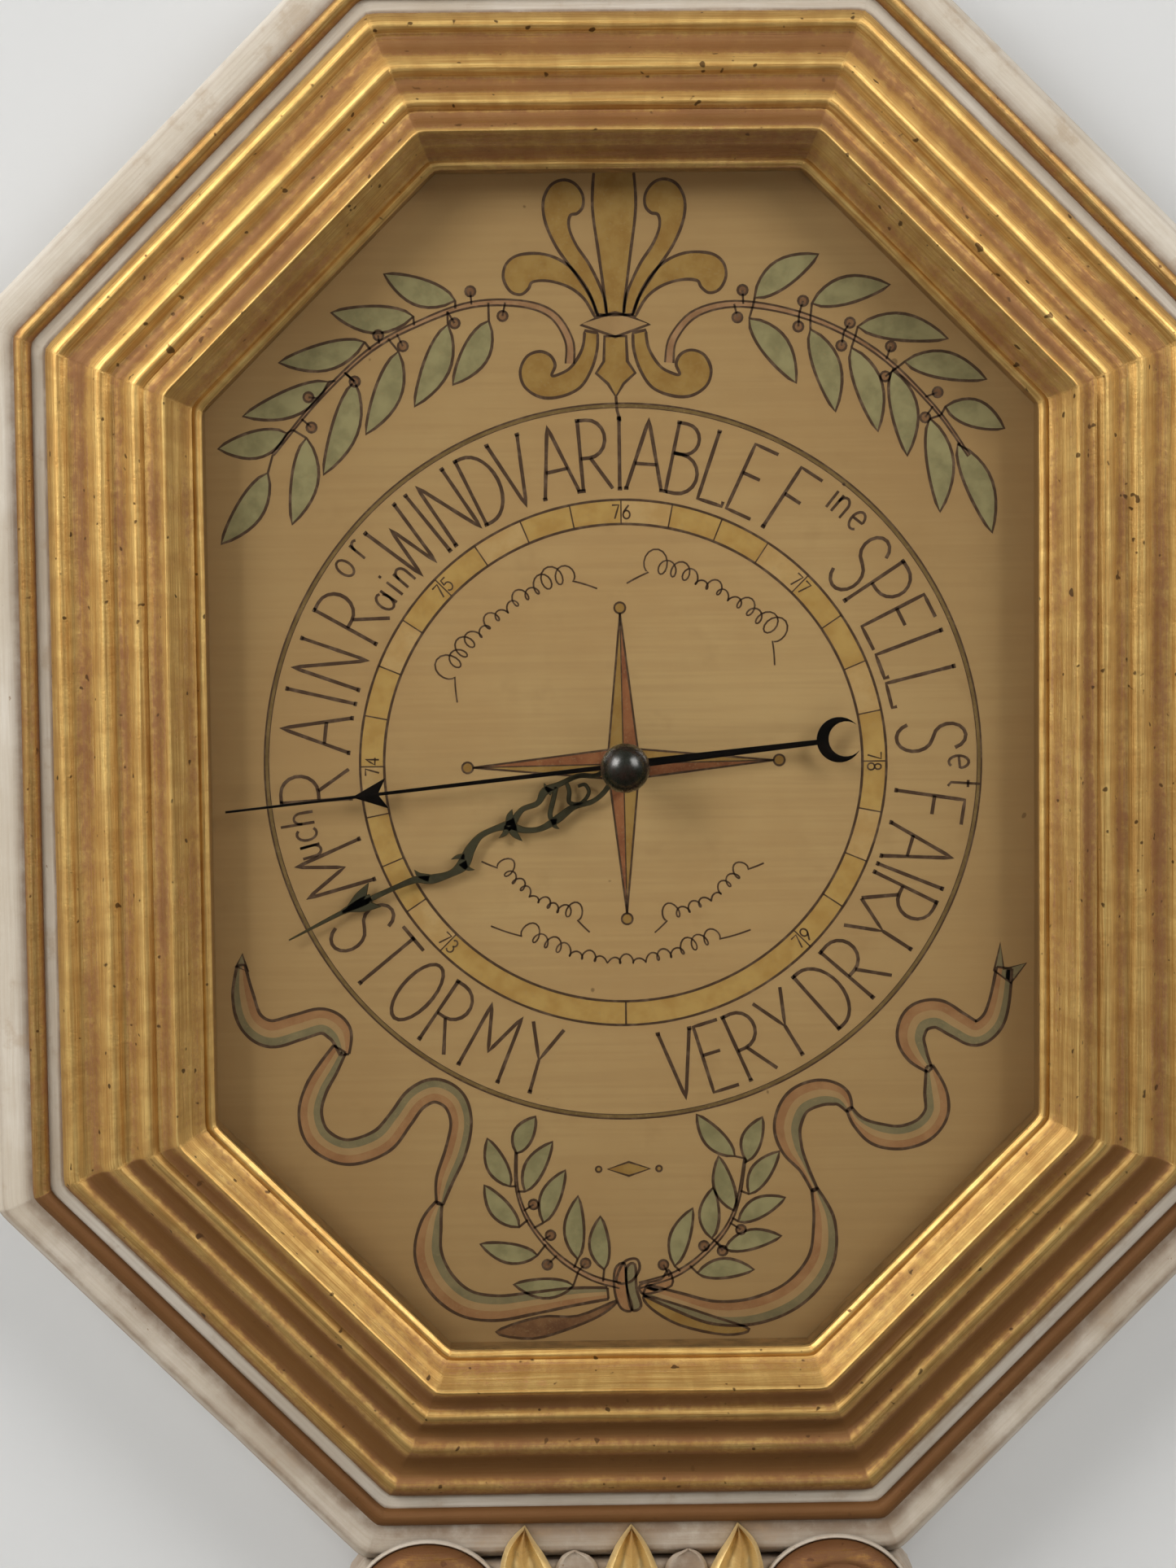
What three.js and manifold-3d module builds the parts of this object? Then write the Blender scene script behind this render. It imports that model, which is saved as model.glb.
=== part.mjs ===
// An octagonal wall barometer. A reeded gilt frame and a carved pendant are fixed to a cream
// wooden case. Behind the glass are a paper dial, an indicating hand turned by an aneroid
// movement, and a set hand turned by a ball knob.
// Millimetres. +Z is up, -Y is the front. The wall face is the plane y = 0, and the hands
// turn about the Y axis.
import * as THREE from "three";
import { mergeVertices } from "three/addons/utils/BufferGeometryUtils.js";
import Module from "manifold-3d";

const wasm = await Module();
wasm.setup();

// ---------------------------------------------------------------- driving dimensions

const GAP = 0.3;                 // left between pieces that touch

// The octagonal opening of the frame. Every octagon of the case is this one, grown by an offset.
const SIGHT_HALF_WIDTH = 126.5;
const SIGHT_HALF_HEIGHT = 180;
const SIGHT_CHAMFER = 71;        // leg of each cut corner
const CHAMFER_GROWTH = 2 - Math.SQRT2;

// Depths, as y. The front of each layer is the lower number.
const WALL = 0;
const BODY_FRONT = -34;
const DIAL_BACK = BODY_FRONT + 1.2;
const BOARD_FRONT = DIAL_BACK + GAP;
const BOARD_BACK = BOARD_FRONT + 6;
const PLATE_FRONT = BOARD_BACK + GAP;
const PLATE_BACK = PLATE_FRONT + 1.5;
const MOVEMENT_FLOOR = PLATE_BACK + GAP;
const GLASS_BACK = BODY_FRONT - 8.7;
const GLASS_FRONT = GLASS_BACK - 2;
const LIP_BACK = GLASS_FRONT - GAP;
const COVER_THICKNESS = 4;

// Offsets from the sight edge.
const GLASS_EDGE = 4.2;
const RABBET_EDGE = GLASS_EDGE + GAP;
const DIAL_EDGE = 13.7;
const BODY_OPENING = DIAL_EDGE + GAP;
const COVER_EDGE = 22;
const FRAME_EDGE = 48.5;         // outer foot of the reeded frame
const BEAD_INNER = 53;
const BEAD_OUTER = 58.4;
const BODY_BEVEL = 67.5;         // where the front face of the case turns into its edge
const BODY_EDGE = 71;

// Hands, as clockwise bearings from the top of the dial.
const POINTER_BEARING = 242.9;
const POINTER_LENGTH = 117;
const SET_HAND_BEARING = 263.9;
const SET_HAND_LENGTH = 123;
const KNOB_RADIUS = 7.5;
const ADJUSTER_Z = -67;          // height of the adjusting screw

const ROUND = 24;                // sides of a small turned piece

// ---------------------------------------------------------------- materials

const finish = (color, roughness, metalness, extra = {}) =>
  new THREE.MeshStandardMaterial({ color, roughness, metalness, ...extra });
const MATERIALS = {
  cream: () => finish(0xcfc8b8, 0.75, 0),
  gilt: () => finish(0xb98a36, 0.35, 0.9),
  glass: () => finish(0xe8f0ee, 0.05, 0, { transparent: true, opacity: 0.2 }),
  spacer: () => finish(0x947447, 0.8, 0),
  paper: () => finish(0xa3865a, 0.85, 0),
  wood: () => finish(0x8a6742, 0.7, 0),
  brass: () => finish(0xb59a55, 0.3, 0.9),
  steel: () => finish(0x8f9398, 0.3, 0.9),
  hand: () => finish(0x4b504a, 0.4, 0.8),
  black: () => finish(0x15130f, 0.35, 0.5),
};

// ---------------------------------------------------------------- geometry helpers

// Merges shared vertices, drops flat triangles and turns the surface to face outwards.
function closed(geometry) {
  const bare = geometry.clone();
  bare.deleteAttribute("normal");
  bare.deleteAttribute("uv");
  const merged = mergeVertices(bare, 1e-4);
  const place = merged.attributes.position;
  const index = merged.index.array;
  const corner = [new THREE.Vector3(), new THREE.Vector3(), new THREE.Vector3()];
  const faces = [];
  let volume = 0;
  for (let i = 0; i < index.length; i += 3) {
    const [a, b, c] = [index[i], index[i + 1], index[i + 2]];
    if (a === b || b === c || c === a) {
      continue;
    }
    [a, b, c].forEach((vertex, k) => corner[k].fromBufferAttribute(place, vertex));
    volume += corner[0].dot(corner[1].clone().cross(corner[2]));
    faces.push(a, b, c);
  }
  if (volume < 0) {
    faces.reverse();
  }
  merged.setIndex(faces);
  return merged;
}

function toSolid(geometry) {
  const merged = closed(geometry);
  return new wasm.Manifold(new wasm.Mesh({
    numProp: 3,
    vertProperties: new Float32Array(merged.attributes.position.array),
    triVerts: new Uint32Array(merged.index.array),
  }));
}

function fromSolid(solid) {
  const mesh = solid.getMesh();
  const geometry = new THREE.BufferGeometry();
  geometry.setAttribute("position", new THREE.BufferAttribute(mesh.vertProperties, 3));
  geometry.setIndex(new THREE.BufferAttribute(mesh.triVerts, 1));
  return geometry;
}

const join = (first, ...others) =>
  fromSolid(others.reduce((solid, piece) => solid.add(toSolid(piece)), toSolid(first)));
const cut = (first, ...tools) =>
  fromSolid(tools.reduce((solid, piece) => solid.subtract(toSolid(piece)), toSolid(first)));

// The eight corners of the sight octagon grown by an offset, clockwise from the top left.
function octagon(offset) {
  const w = SIGHT_HALF_WIDTH + offset;
  const h = SIGHT_HALF_HEIGHT + offset;
  const c = SIGHT_CHAMFER + offset * CHAMFER_GROWTH;
  return [
    [c - w, h], [w - c, h], [w, h - c], [w, c - h],
    [w - c, -h], [c - w, -h], [-w, c - h], [-w, h - c],
  ];
}

const shapeOf = (points) => new THREE.Shape(points.map(([x, z]) => new THREE.Vector2(x, z)));

// A flat outline in the XZ plane, given thickness between two depths.
function slab(shape, front, back, curveSegments = 12) {
  const geometry = new THREE.ExtrudeGeometry(shape, {
    depth: back - front, bevelEnabled: false, curveSegments,
  });
  return geometry.rotateX(Math.PI / 2).translate(0, back, 0);
}

// A piece turned about an axis along Y through (x, z), from its [radius, y] profile.
function turned(profile, x = 0, z = 0, sides = ROUND) {
  const points = profile.map(([radius, y]) => new THREE.Vector2(radius, y));
  return new THREE.LatheGeometry(points, sides).translate(x, 0, z);
}

const rod = (radius, front, back, x = 0, z = 0, sides = ROUND) =>
  turned([[0, front], [radius, front], [radius, back], [0, back]], x, z, sides);

const tube = (inner, outer, front, back, x = 0, z = 0) =>
  turned([[inner, front], [outer, front], [outer, back], [inner, back], [inner, front]], x, z);

// A block between two corners.
function block([x0, y0, z0], [x1, y1, z1]) {
  return new THREE.BoxGeometry(x1 - x0, y1 - y0, z1 - z0)
    .translate((x0 + x1) / 2, (y0 + y1) / 2, (z0 + z1) / 2);
}

// A strip along a smooth path, with its half width given at each point of the path.
function strip(path, halfWidths, steps) {
  const curve = new THREE.CatmullRomCurve3(path.map(([x, z]) => new THREE.Vector3(x, z, 0)));
  const left = [];
  const right = [];
  for (let i = 0; i <= steps; i++) {
    const t = i / steps;
    const place = t * (halfWidths.length - 1);
    const before = Math.min(Math.floor(place), halfWidths.length - 2);
    const half = THREE.MathUtils.lerp(halfWidths[before], halfWidths[before + 1], place - before);
    const point = curve.getPoint(t);
    const along = curve.getTangent(t);
    left.push([point.x - along.y * half, point.y + along.x * half]);
    right.unshift([point.x + along.y * half, point.y - along.x * half]);
  }
  return shapeOf([...left, ...right]);
}

// Surface between successive copies of a closed section. A ring joins its last copy to its
// first; a length has its two ends capped.
function loft(sections, isRing) {
  const count = sections[0].length;
  const positions = sections.flat(2);
  const faces = [];
  const spans = isRing ? sections.length : sections.length - 1;
  for (let s = 0; s < spans; s++) {
    const here = s * count;
    const there = ((s + 1) % sections.length) * count;
    for (let k = 0; k < count; k++) {
      const next = (k + 1) % count;
      faces.push(here + k, there + k, here + next);
      faces.push(here + next, there + k, there + next);
    }
  }
  if (!isRing) {
    const flat = sections[0].map(([x, y, z]) => new THREE.Vector2(Math.hypot(x, z), y));
    const last = (sections.length - 1) * count;
    for (const [a, b, c] of THREE.ShapeUtils.triangulateShape(flat, [])) {
      const wound = THREE.ShapeUtils.isClockWise(flat) ? [a, c, b] : [a, b, c];
      faces.push(...wound);
      faces.push(last + wound[0], last + wound[2], last + wound[1]);
    }
  }
  const geometry = new THREE.BufferGeometry();
  geometry.setAttribute("position", new THREE.Float32BufferAttribute(positions, 3));
  geometry.setIndex(faces);
  return geometry;
}

// A profile of [offset, y] points carried round the octagon.
function octagonRing(profile) {
  const outlines = profile.map(([offset]) => octagon(offset));
  const sections = [0, 1, 2, 3, 4, 5, 6, 7].map((corner) =>
    profile.map(([, y], k) => [outlines[k][corner][0], y, outlines[k][corner][1]]));
  return loft(sections, true);
}

// The same profile along one side of the octagon, cut at the mitres a little short.
function octagonSide(profile, side) {
  const start = [];
  const end = [];
  for (const [offset, y] of profile) {
    const corners = octagon(offset);
    const a = new THREE.Vector2(...corners[side]);
    const b = new THREE.Vector2(...corners[(side + 1) % corners.length]);
    const inset = b.clone().sub(a).setLength(GAP / 2);
    a.add(inset);
    b.sub(inset);
    start.push([a.x, y, a.y]);
    end.push([b.x, y, b.y]);
  }
  return loft([start, end], false);
}

// ---------------------------------------------------------------- assembly

const barometer = new THREE.Group();

function add(name, material, geometry) {
  const mesh = new THREE.Mesh(closed(geometry), MATERIALS[material]());
  mesh.name = name;
  barometer.add(mesh);
}

const mirrored = (geometry) => closed(geometry.clone().scale(-1, 1, 1));

// ---------------------------------------------------------------- case

const COVER_SCREW_Z = SIGHT_HALF_HEIGHT + (BODY_OPENING + COVER_EDGE) / 2;
const COVER_SCREW_PLACES = [
  [-60, COVER_SCREW_Z], [60, COVER_SCREW_Z], [60, -COVER_SCREW_Z], [-60, -COVER_SCREW_Z]];
const SCREW_HEAD = { radius: 3.2, depth: 1.8 };
const SCREW_SHANK = 1.4;
const SCREW_SIDES = 12;

// A countersunk place for a screw driven in from the back.
function screwHole([x, z], back, length) {
  const headRadius = SCREW_HEAD.radius + GAP;
  const headFront = back - SCREW_HEAD.depth - 2 * GAP;
  return turned([
    [0, back - length], [SCREW_SHANK + GAP, back - length], [SCREW_SHANK + GAP, headFront],
    [headRadius, headFront], [headRadius, back + 1], [0, back + 1],
  ], x, z, SCREW_SIDES);
}

function screw([x, z], back, length) {
  const head = back - SCREW_HEAD.depth;
  return turned([
    [0, back - length], [SCREW_SHANK, back - length + 2], [SCREW_SHANK, head],
    [SCREW_HEAD.radius, head], [SCREW_HEAD.radius, back], [0, back],
  ], x, z, SCREW_SIDES);
}

// The case is a thick octagonal ring with a bevelled edge. Its back is rebated for the cover
// and recessed at the top for the hanging plate and ring.
const HANGER = { halfWidth: 17, bottom: 206, depth: 6 };
const COVER_SCREW_LENGTH = 16;
{
  const ring = octagonRing([
    [BODY_OPENING, BODY_FRONT], [BODY_BEVEL, BODY_FRONT], [BODY_EDGE, BODY_FRONT + 6],
    [BODY_EDGE, WALL], [COVER_EDGE + GAP, WALL], [COVER_EDGE + GAP, WALL - COVER_THICKNESS - GAP],
    [BODY_OPENING, WALL - COVER_THICKNESS - GAP],
  ]);
  const beyondTop = SIGHT_HALF_HEIGHT + BODY_EDGE + 5;
  const recess = block(
    [-HANGER.halfWidth, WALL - HANGER.depth, HANGER.bottom],
    [HANGER.halfWidth, WALL + 5, beyondTop]);
  const holes = COVER_SCREW_PLACES.map((place) => screwHole(place, WALL, COVER_SCREW_LENGTH + 1));
  add("case_body", "cream", cut(ring, recess, ...holes));
}

// A half-round bead on the front of the case, outside a flat cream band.
{
  const foot = BODY_FRONT - GAP;
  const middle = (BEAD_INNER + BEAD_OUTER) / 2;
  const radius = (BEAD_OUTER - BEAD_INNER) / 2;
  const profile = [];
  const steps = 8;
  for (let i = 0; i <= steps; i++) {
    const turn = (Math.PI * i) / steps;
    profile.push([middle - radius * Math.cos(turn), foot - radius * Math.sin(turn)]);
  }
  add("gilt_bead", "gilt", octagonRing(profile));
}

// The round hole in the cover is the way in to the adjusting screw.
add("back_cover", "wood", cut(
  slab(shapeOf(octagon(COVER_EDGE)), WALL - COVER_THICKNESS, WALL),
  ...COVER_SCREW_PLACES.map((place) => screwHole(place, WALL, COVER_SCREW_LENGTH)),
  rod(5, WALL - COVER_THICKNESS - 1, WALL + 1, 0, ADJUSTER_Z),
));
COVER_SCREW_PLACES.forEach((place, i) =>
  add(`cover_screw_${i + 1}`, "brass", screw(place, WALL - GAP, COVER_SCREW_LENGTH)));

// ---------------------------------------------------------------- reeded frame

// Adds a hollow or a round between two points of the profile. rise is towards the front.
function bow(profile, [toOffset, toY], rise, steps) {
  const [fromOffset, fromY] = profile.at(-1);
  for (let i = 1; i <= steps; i++) {
    const t = i / steps;
    const lift = rise * Math.sin(Math.PI * t);
    profile.push([
      THREE.MathUtils.lerp(fromOffset, toOffset, t),
      THREE.MathUtils.lerp(fromY, toY, t) - lift,
    ]);
  }
}

// From the sight edge outwards: lip, cove, slope, ridge, then rounds and hollows in turn that
// step down to the foot. Each entry is the next point and its rise towards the front.
const FRAME_STEPS = [
  [[2.9, -47.4], 1.2], [[6.4, -53], -1.0], [[9.3, -58], -0.4], [[11.1, -57.6], 1.0],
  [[16.8, -51.8], -1.6], [[22.6, -49.6], 2.6], [[27.5, -46], -1.4], [[34.6, -43.4], 3.0],
  [[41.5, -39], -1.6], [[FRAME_EDGE, -36], 3.0],
];
function frameProfile() {
  const profile = [[0, LIP_BACK], [0, -47.6]];
  FRAME_STEPS.forEach(([point, rise]) => bow(profile, point, rise, 4));
  const foot = BODY_FRONT - GAP;
  profile.push([FRAME_EDGE, foot], [RABBET_EDGE, foot], [RABBET_EDGE, LIP_BACK]);
  return profile;
}

const SIDES = ["top", "top_right", "right", "bottom_right",
  "bottom", "bottom_left", "left", "top_left"];
SIDES.forEach((side, i) => add(`frame_rail_${side}`, "gilt", octagonSide(frameProfile(), i)));

// ---------------------------------------------------------------- glass and dial

const GLASS_HOLE = 3.5;
const SET_ARBOR_RADIUS = 1.5;
add("glass_pane", "glass", cut(
  slab(shapeOf(octagon(GLASS_EDGE)), GLASS_FRONT, GLASS_BACK),
  rod(GLASS_HOLE, GLASS_FRONT - 1, GLASS_BACK + 1),
));
add("glazing_spacer", "spacer", octagonRing([
  [0.4, GLASS_BACK + GAP], [GLASS_EDGE, GLASS_BACK + GAP],
  [GLASS_EDGE, BODY_FRONT - GAP], [0.4, BODY_FRONT - GAP],
]));
{
  const bore = SET_ARBOR_RADIUS + GAP;
  const sleeve = GLASS_HOLE - GAP;
  add("glass_bush", "brass", turned([
    [bore, GLASS_FRONT - 2 * GAP], [4.5, GLASS_FRONT - 2 * GAP], [4.5, GLASS_FRONT - GAP],
    [sleeve, GLASS_FRONT - GAP], [sleeve, GLASS_BACK + GAP], [4.5, GLASS_BACK + GAP],
    [4.5, GLASS_BACK + 2 * GAP], [bore, GLASS_BACK + 2 * GAP], [bore, GLASS_FRONT - 2 * GAP],
  ]));
}
add("dial_plate", "paper", cut(
  slab(shapeOf(octagon(DIAL_EDGE)), BODY_FRONT, DIAL_BACK),
  rod(1.6, BODY_FRONT - 1, DIAL_BACK + 1),
));

const MOVEMENT_SCREW_PLACES = [[-28, 31], [28, 31], [24, -70]];
const MOVEMENT_SCREW_BACK = PLATE_BACK + GAP + SCREW_HEAD.depth;
const MOVEMENT_SCREW_LENGTH = 7.4;
const MOVEMENT_SCREW_TIP = MOVEMENT_SCREW_BACK - MOVEMENT_SCREW_LENGTH;
const movementScrewHoles = () => MOVEMENT_SCREW_PLACES.map(([x, z]) =>
  rod(SCREW_SHANK + GAP, MOVEMENT_SCREW_TIP - GAP, PLATE_BACK + 1, x, z, SCREW_SIDES));
add("dial_board", "wood", cut(
  slab(shapeOf(octagon(DIAL_EDGE)), BOARD_FRONT, BOARD_BACK),
  rod(3, BOARD_FRONT - 1, BOARD_BACK + 1),
  ...movementScrewHoles(),
));
for (const [name, side] of [["top", 1], ["bottom", -1]]) {
  const outer = side * (SIGHT_HALF_HEIGHT + DIAL_EDGE);
  const inner = outer - side * 10;
  add(`board_batten_${name}`, "wood", block(
    [-50, BOARD_BACK + GAP, Math.min(inner, outer)],
    [50, BOARD_BACK + 10, Math.max(inner, outer)]));
}

// ---------------------------------------------------------------- carved pendant

const PENDANT_TOP = -(SIGHT_HALF_HEIGHT + BODY_EDGE + GAP);
const CARVING_BACK = BODY_FRONT - GAP;
const PENDANT_BOARD_BACK = -8;
const VOLUTE = { x: 65, z: -265, radius: 21.5, height: 11 };
const PENDANT_FOOT = -338;
const LEAF_TIP = -239;
const LEAF_BASE = -318;

// The ground board hangs under the case, and its lower edge sweeps in to a rounded foot.
{
  const edge = new THREE.CatmullRomCurve3([
    [84, PENDANT_TOP], [91, -262], [85, -280], [66, -287], [48, -292], [32, -306], [20, -324],
    [9, PENDANT_FOOT + 2], [0, PENDANT_FOOT],
  ].map(([x, z]) => new THREE.Vector3(x, z, 0))).getPoints(24).map((point) => [point.x, point.y]);
  const other = edge.slice(0, -1).reverse().map(([x, z]) => [-x, z]);
  add("pendant_board", "cream",
    slab(shapeOf([...edge, ...other]), BODY_FRONT, PENDANT_BOARD_BACK));
}

// Leaves, each from its tip to its base. The side leaves arch out of the calyx and turn up.
const MIDDLE_LEAF = {
  spine: [[0, LEAF_TIP], [0, -261], [0, -278], [0, -295], [0, LEAF_BASE]],
  halves: [0.4, 10.4, 12, 9, 3],
};
const SIDE_LEAF = {
  spine: [[33.4, LEAF_TIP], [34, -249], [31.5, -262], [26.5, -276], [20, -291], [11, -311]],
  halves: [0.4, 7.4, 9.4, 8.6, 6, 1.6],
};
const LEAF_STEPS = 16;

// A flat blade with a raised midrib.
function leaf({ spine, halves }) {
  const ribHalves = halves.map((half) => Math.min(0.3 * half, 1.6));
  const blade = slab(strip(spine, halves, LEAF_STEPS), CARVING_BACK - 5, CARVING_BACK);
  const rib = slab(strip(spine, ribHalves, LEAF_STEPS), CARVING_BACK - 7, CARVING_BACK - 1);
  return join(blade, rib);
}

{
  const { spine, halves } = MIDDLE_LEAF;
  const clearHalves = halves.map((half) => half + 0.8);
  const clearance = slab(
    strip(spine, clearHalves, LEAF_STEPS), CARVING_BACK - 12, CARVING_BACK + 5);
  const pieces = toSolid(cut(leaf(SIDE_LEAF), clearance)).decompose();
  const side = fromSolid(pieces.sort((a, b) => b.volume() - a.volume())[0]);
  add("leaf_middle", "gilt", leaf(MIDDLE_LEAF));
  add("leaf_right", "gilt", side);
  add("leaf_left", "gilt", mirrored(side));
}

// Each volute is a domed eye with a scroll that runs down and in to the calyx.
{
  const { x, z, radius, height } = VOLUTE;
  const dome = [[0, CARVING_BACK]];
  const steps = 6;
  for (let i = 0; i <= steps; i++) {
    const turn = (Math.PI / 2) * (i / steps);
    dome.push([radius * Math.cos(turn), CARVING_BACK - 1 - height * Math.sin(turn)]);
  }
  const scroll = slab(strip(
    [[x + 8, z - 16], [x - 14, z - 22], [38, -292], [26, -306], [17, -320]],
    [4, 5, 4.5, 4, 2.5], 12), CARVING_BACK - 7, CARVING_BACK);
  const right = join(turned(dome, x, z), scroll);
  add("volute_right", "gilt", right);
  add("volute_left", "gilt", mirrored(right));
}

// The calyx gathers the leaves, and a turned drop closes the pendant.
add("pendant_calyx", "gilt", slab(
  strip([[-13, -322], [0, -327], [13, -322]], [2, 5, 2], 8), CARVING_BACK - 9, CARVING_BACK));
{
  const top = PENDANT_FOOT - GAP;
  const drop = [
    [0, 0], [9, 0], [9, 2.5], [5, 4], [7.5, 7], [9, 11], [8, 15], [4.5, 19], [0, 21]];
  const boardMiddle = (BODY_FRONT + PENDANT_BOARD_BACK) / 2;
  add("pendant_drop", "gilt", turned(drop, 0, 0, 16).rotateX(-Math.PI / 2)
    .translate(0, boardMiddle, top));
}

// ---------------------------------------------------------------- hanging plate and ring

const RING = { knuckle: 238, wire: 1.3 };
const LUG_HALF_WIDTH = 1.6;
const PLATE_SCREW_HEAD = { radius: 2.8, depth: 1.2 };
{
  const plateFront = WALL - HANGER.depth + GAP;
  const plateBack = plateFront + 1.5;
  const places = [[-11, 212], [11, 212]];
  const axisY = plateBack + GAP + RING.wire + 0.2;
  const holes = places.map(([x, z]) =>
    rod(SCREW_SHANK + GAP, plateFront - 1, plateBack + 1, x, z, SCREW_SIDES));
  const halfWidth = HANGER.halfWidth - 2;
  const plate = block(
    [-halfWidth, plateFront, HANGER.bottom + 2], [halfWidth, plateBack, RING.knuckle + 8]);
  const lug = block(
    [-LUG_HALF_WIDTH, plateBack - 0.5, RING.knuckle - 3],
    [LUG_HALF_WIDTH, axisY + 2, RING.knuckle + 3]);
  const bore = new THREE.CylinderGeometry(RING.wire + GAP, RING.wire + GAP, 10, 12)
    .rotateZ(Math.PI / 2).translate(0, axisY, RING.knuckle);
  add("hanging_plate", "brass", cut(join(plate, lug), bore, ...holes));
  places.forEach(([x, z], i) => {
    const head = plateBack + GAP;
    const tip = plateFront - GAP + 0.1;
    const { radius, depth } = PLATE_SCREW_HEAD;
    add(`hanging_plate_screw_${i + 1}`, "steel", turned([
      [0, tip], [SCREW_SHANK, tip], [SCREW_SHANK, head], [radius, head],
      [radius, head + depth], [0, head + depth],
    ], x, z, SCREW_SIDES));
  });
  // The ring is a D: a straight bar in the lug and a bow that hangs below it.
  const half = [[3, 0], [8, -0.3], [12, -6], [12, -14], [6, -20]];
  const other = half.map(([x, down]) => [-x, down]);
  const [bar, ...bend] = half;
  const wire = [bar, ...other, ...bend.reverse()]
    .map(([x, down]) => new THREE.Vector3(x, axisY, RING.knuckle + down));
  const section = new THREE.Shape();
  section.absarc(0, 0, RING.wire, 0, 2 * Math.PI);
  add("hanging_ring", "steel", new THREE.ExtrudeGeometry(
    section,
    {
      steps: 48, extrudePath: new THREE.CatmullRomCurve3(wire, true),
      curveSegments: 4, bevelEnabled: false,
    },
  ));
}

// ---------------------------------------------------------------- aneroid movement

// The movement hangs on a plate behind the dial board. A sealed capsule squeezes under air
// pressure and draws the main spring and lever forwards. The lever rocks a shaft, whose long
// arm pulls a chain off the drum of the hand arbor.
const CAPSULE = { z: -34, radius: 26, back: -15.9, skin: 0.5 };
const SPRING_ROOT = { y: -12.8, z: -61.7 };
const SPRING_FRONT = SPRING_ROOT.y - 0.4;
const SPRING_BACK = SPRING_ROOT.y + 0.4;
const SHAFT = { y: -12.6, z: 22, radius: 1, left: -21.2, right: 13.2 };
const CHAIN_X = -2.05;
const CHAIN_ARM = 9.5;           // from the shaft axis to the chain
const CRANK_X = -14;
const CRANK_ARM = 4.5;           // from the shaft axis to the link
const SHAFT_REST = THREE.MathUtils.degToRad(17.3);   // how far the shaft stands from mid range
const DRUM_RADIUS = 1.3;
const DRUM_FRONT = -23.4;
const DRUM_BACK = -20.5;
const BRIDGE_FRONT = -18.6;
const BRIDGE_BACK = -17.6;
const BRIDGE_REACH = 20;
const POST_HOLE = 3.5;
const POST_FRONT = -20.5;

{
  const outline = new THREE.Shape();
  const [half, top, bottom, corner] = [35, 38, -79, 10];
  outline.absarc(half - corner, top - corner, corner, 0, Math.PI / 2);
  outline.absarc(corner - half, top - corner, corner, Math.PI / 2, Math.PI);
  outline.absarc(corner - half, bottom + corner, corner, Math.PI, 1.5 * Math.PI);
  outline.absarc(half - corner, bottom + corner, corner, 1.5 * Math.PI, 2 * Math.PI);
  add("movement_plate", "brass", cut(
    slab(outline, PLATE_FRONT, PLATE_BACK, 5),
    rod(2.2, PLATE_FRONT - 1, PLATE_BACK + 1),
    ...movementScrewHoles(),
  ));
}
MOVEMENT_SCREW_PLACES.forEach(([x, z], i) => {
  const head = MOVEMENT_SCREW_BACK - SCREW_HEAD.depth;
  add(`movement_screw_${i + 1}`, "steel", turned([
    [0, MOVEMENT_SCREW_TIP], [SCREW_SHANK, MOVEMENT_SCREW_TIP], [SCREW_SHANK, head],
    [SCREW_HEAD.radius, head], [SCREW_HEAD.radius, MOVEMENT_SCREW_BACK],
    [0, MOVEMENT_SCREW_BACK],
  ], x, z, SCREW_SIDES));
});

// The capsule is a thin corrugated box, open only where its post comes out.
{
  const { z, radius, back, skin } = CAPSULE;
  const front = MOVEMENT_FLOOR;
  const ripples = [22, 19, 16, 13, 10, 7];
  const ripple = (k) => (k % 2 === 0 ? 0 : 0.9);
  const profile = [[0, front], [radius, front], [radius, back + 1.5]];
  ripples.forEach((r, k) => profile.push([r, back - ripple(k)]));
  profile.push([POST_HOLE, back], [POST_HOLE, back - skin]);
  [...ripples].reverse().forEach((r, k) =>
    profile.push([r, back - skin - ripple(ripples.length - 1 - k)]));
  profile.push([radius - skin, back + 1 - 2 * skin]);
  profile.push([radius - skin, front + skin], [0, front + skin]);
  add("vacuum_capsule", "brass", turned(profile, 0, z));
}
add("capsule_post", "steel", turned([
  [0, POST_FRONT], [3, POST_FRONT], [3, SPRING_FRONT - GAP], [1.6, SPRING_FRONT - GAP],
  [1.6, SPRING_BACK + 2], [0, SPRING_BACK + 2],
], 0, CAPSULE.z));

// A block on the plate carries the knife edge on which the spring rocks.
add("spring_bracket", "steel", cut(
  block([-12, MOVEMENT_FLOOR, -73], [12, -11.5, SPRING_ROOT.z - GAP]),
  rod(2, -19.3, -10, 0, ADJUSTER_Z, 12),
));
{
  const screwHead = cut(
    turned([[0, -19], [1.7, -19], [1.7, -11], [3.5, -11], [3.5, -8.8], [0, -8.8]], 0, ADJUSTER_Z, 16),
    block([-4, -9.8, ADJUSTER_Z - 0.5], [4, -8, ADJUSTER_Z + 0.5]));
  add("adjusting_screw", "steel", screwHead);
}
add("main_spring", "steel", cut(
  block([-9, SPRING_FRONT, SPRING_ROOT.z], [9, SPRING_BACK, -22]),
  rod(2.1, SPRING_FRONT - 1, SPRING_BACK + 1, 0, CAPSULE.z),
));
{
  const front = SPRING_BACK + GAP;
  const arm = strip([[-4, -29], [-9, -22], [CRANK_X, -10], [CRANK_X, 0], [CRANK_X, 12]],
    [3.5, 3, 1.8, 1.5, 1.2], 14);
  add("lever_arm", "steel", slab(arm, front, front + 0.8));
  add("link_rod", "brass",
    block([CRANK_X - 0.6, front - 0.2, 12.4], [CRANK_X + 0.6, front + 1, 16.1]));
}

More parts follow.
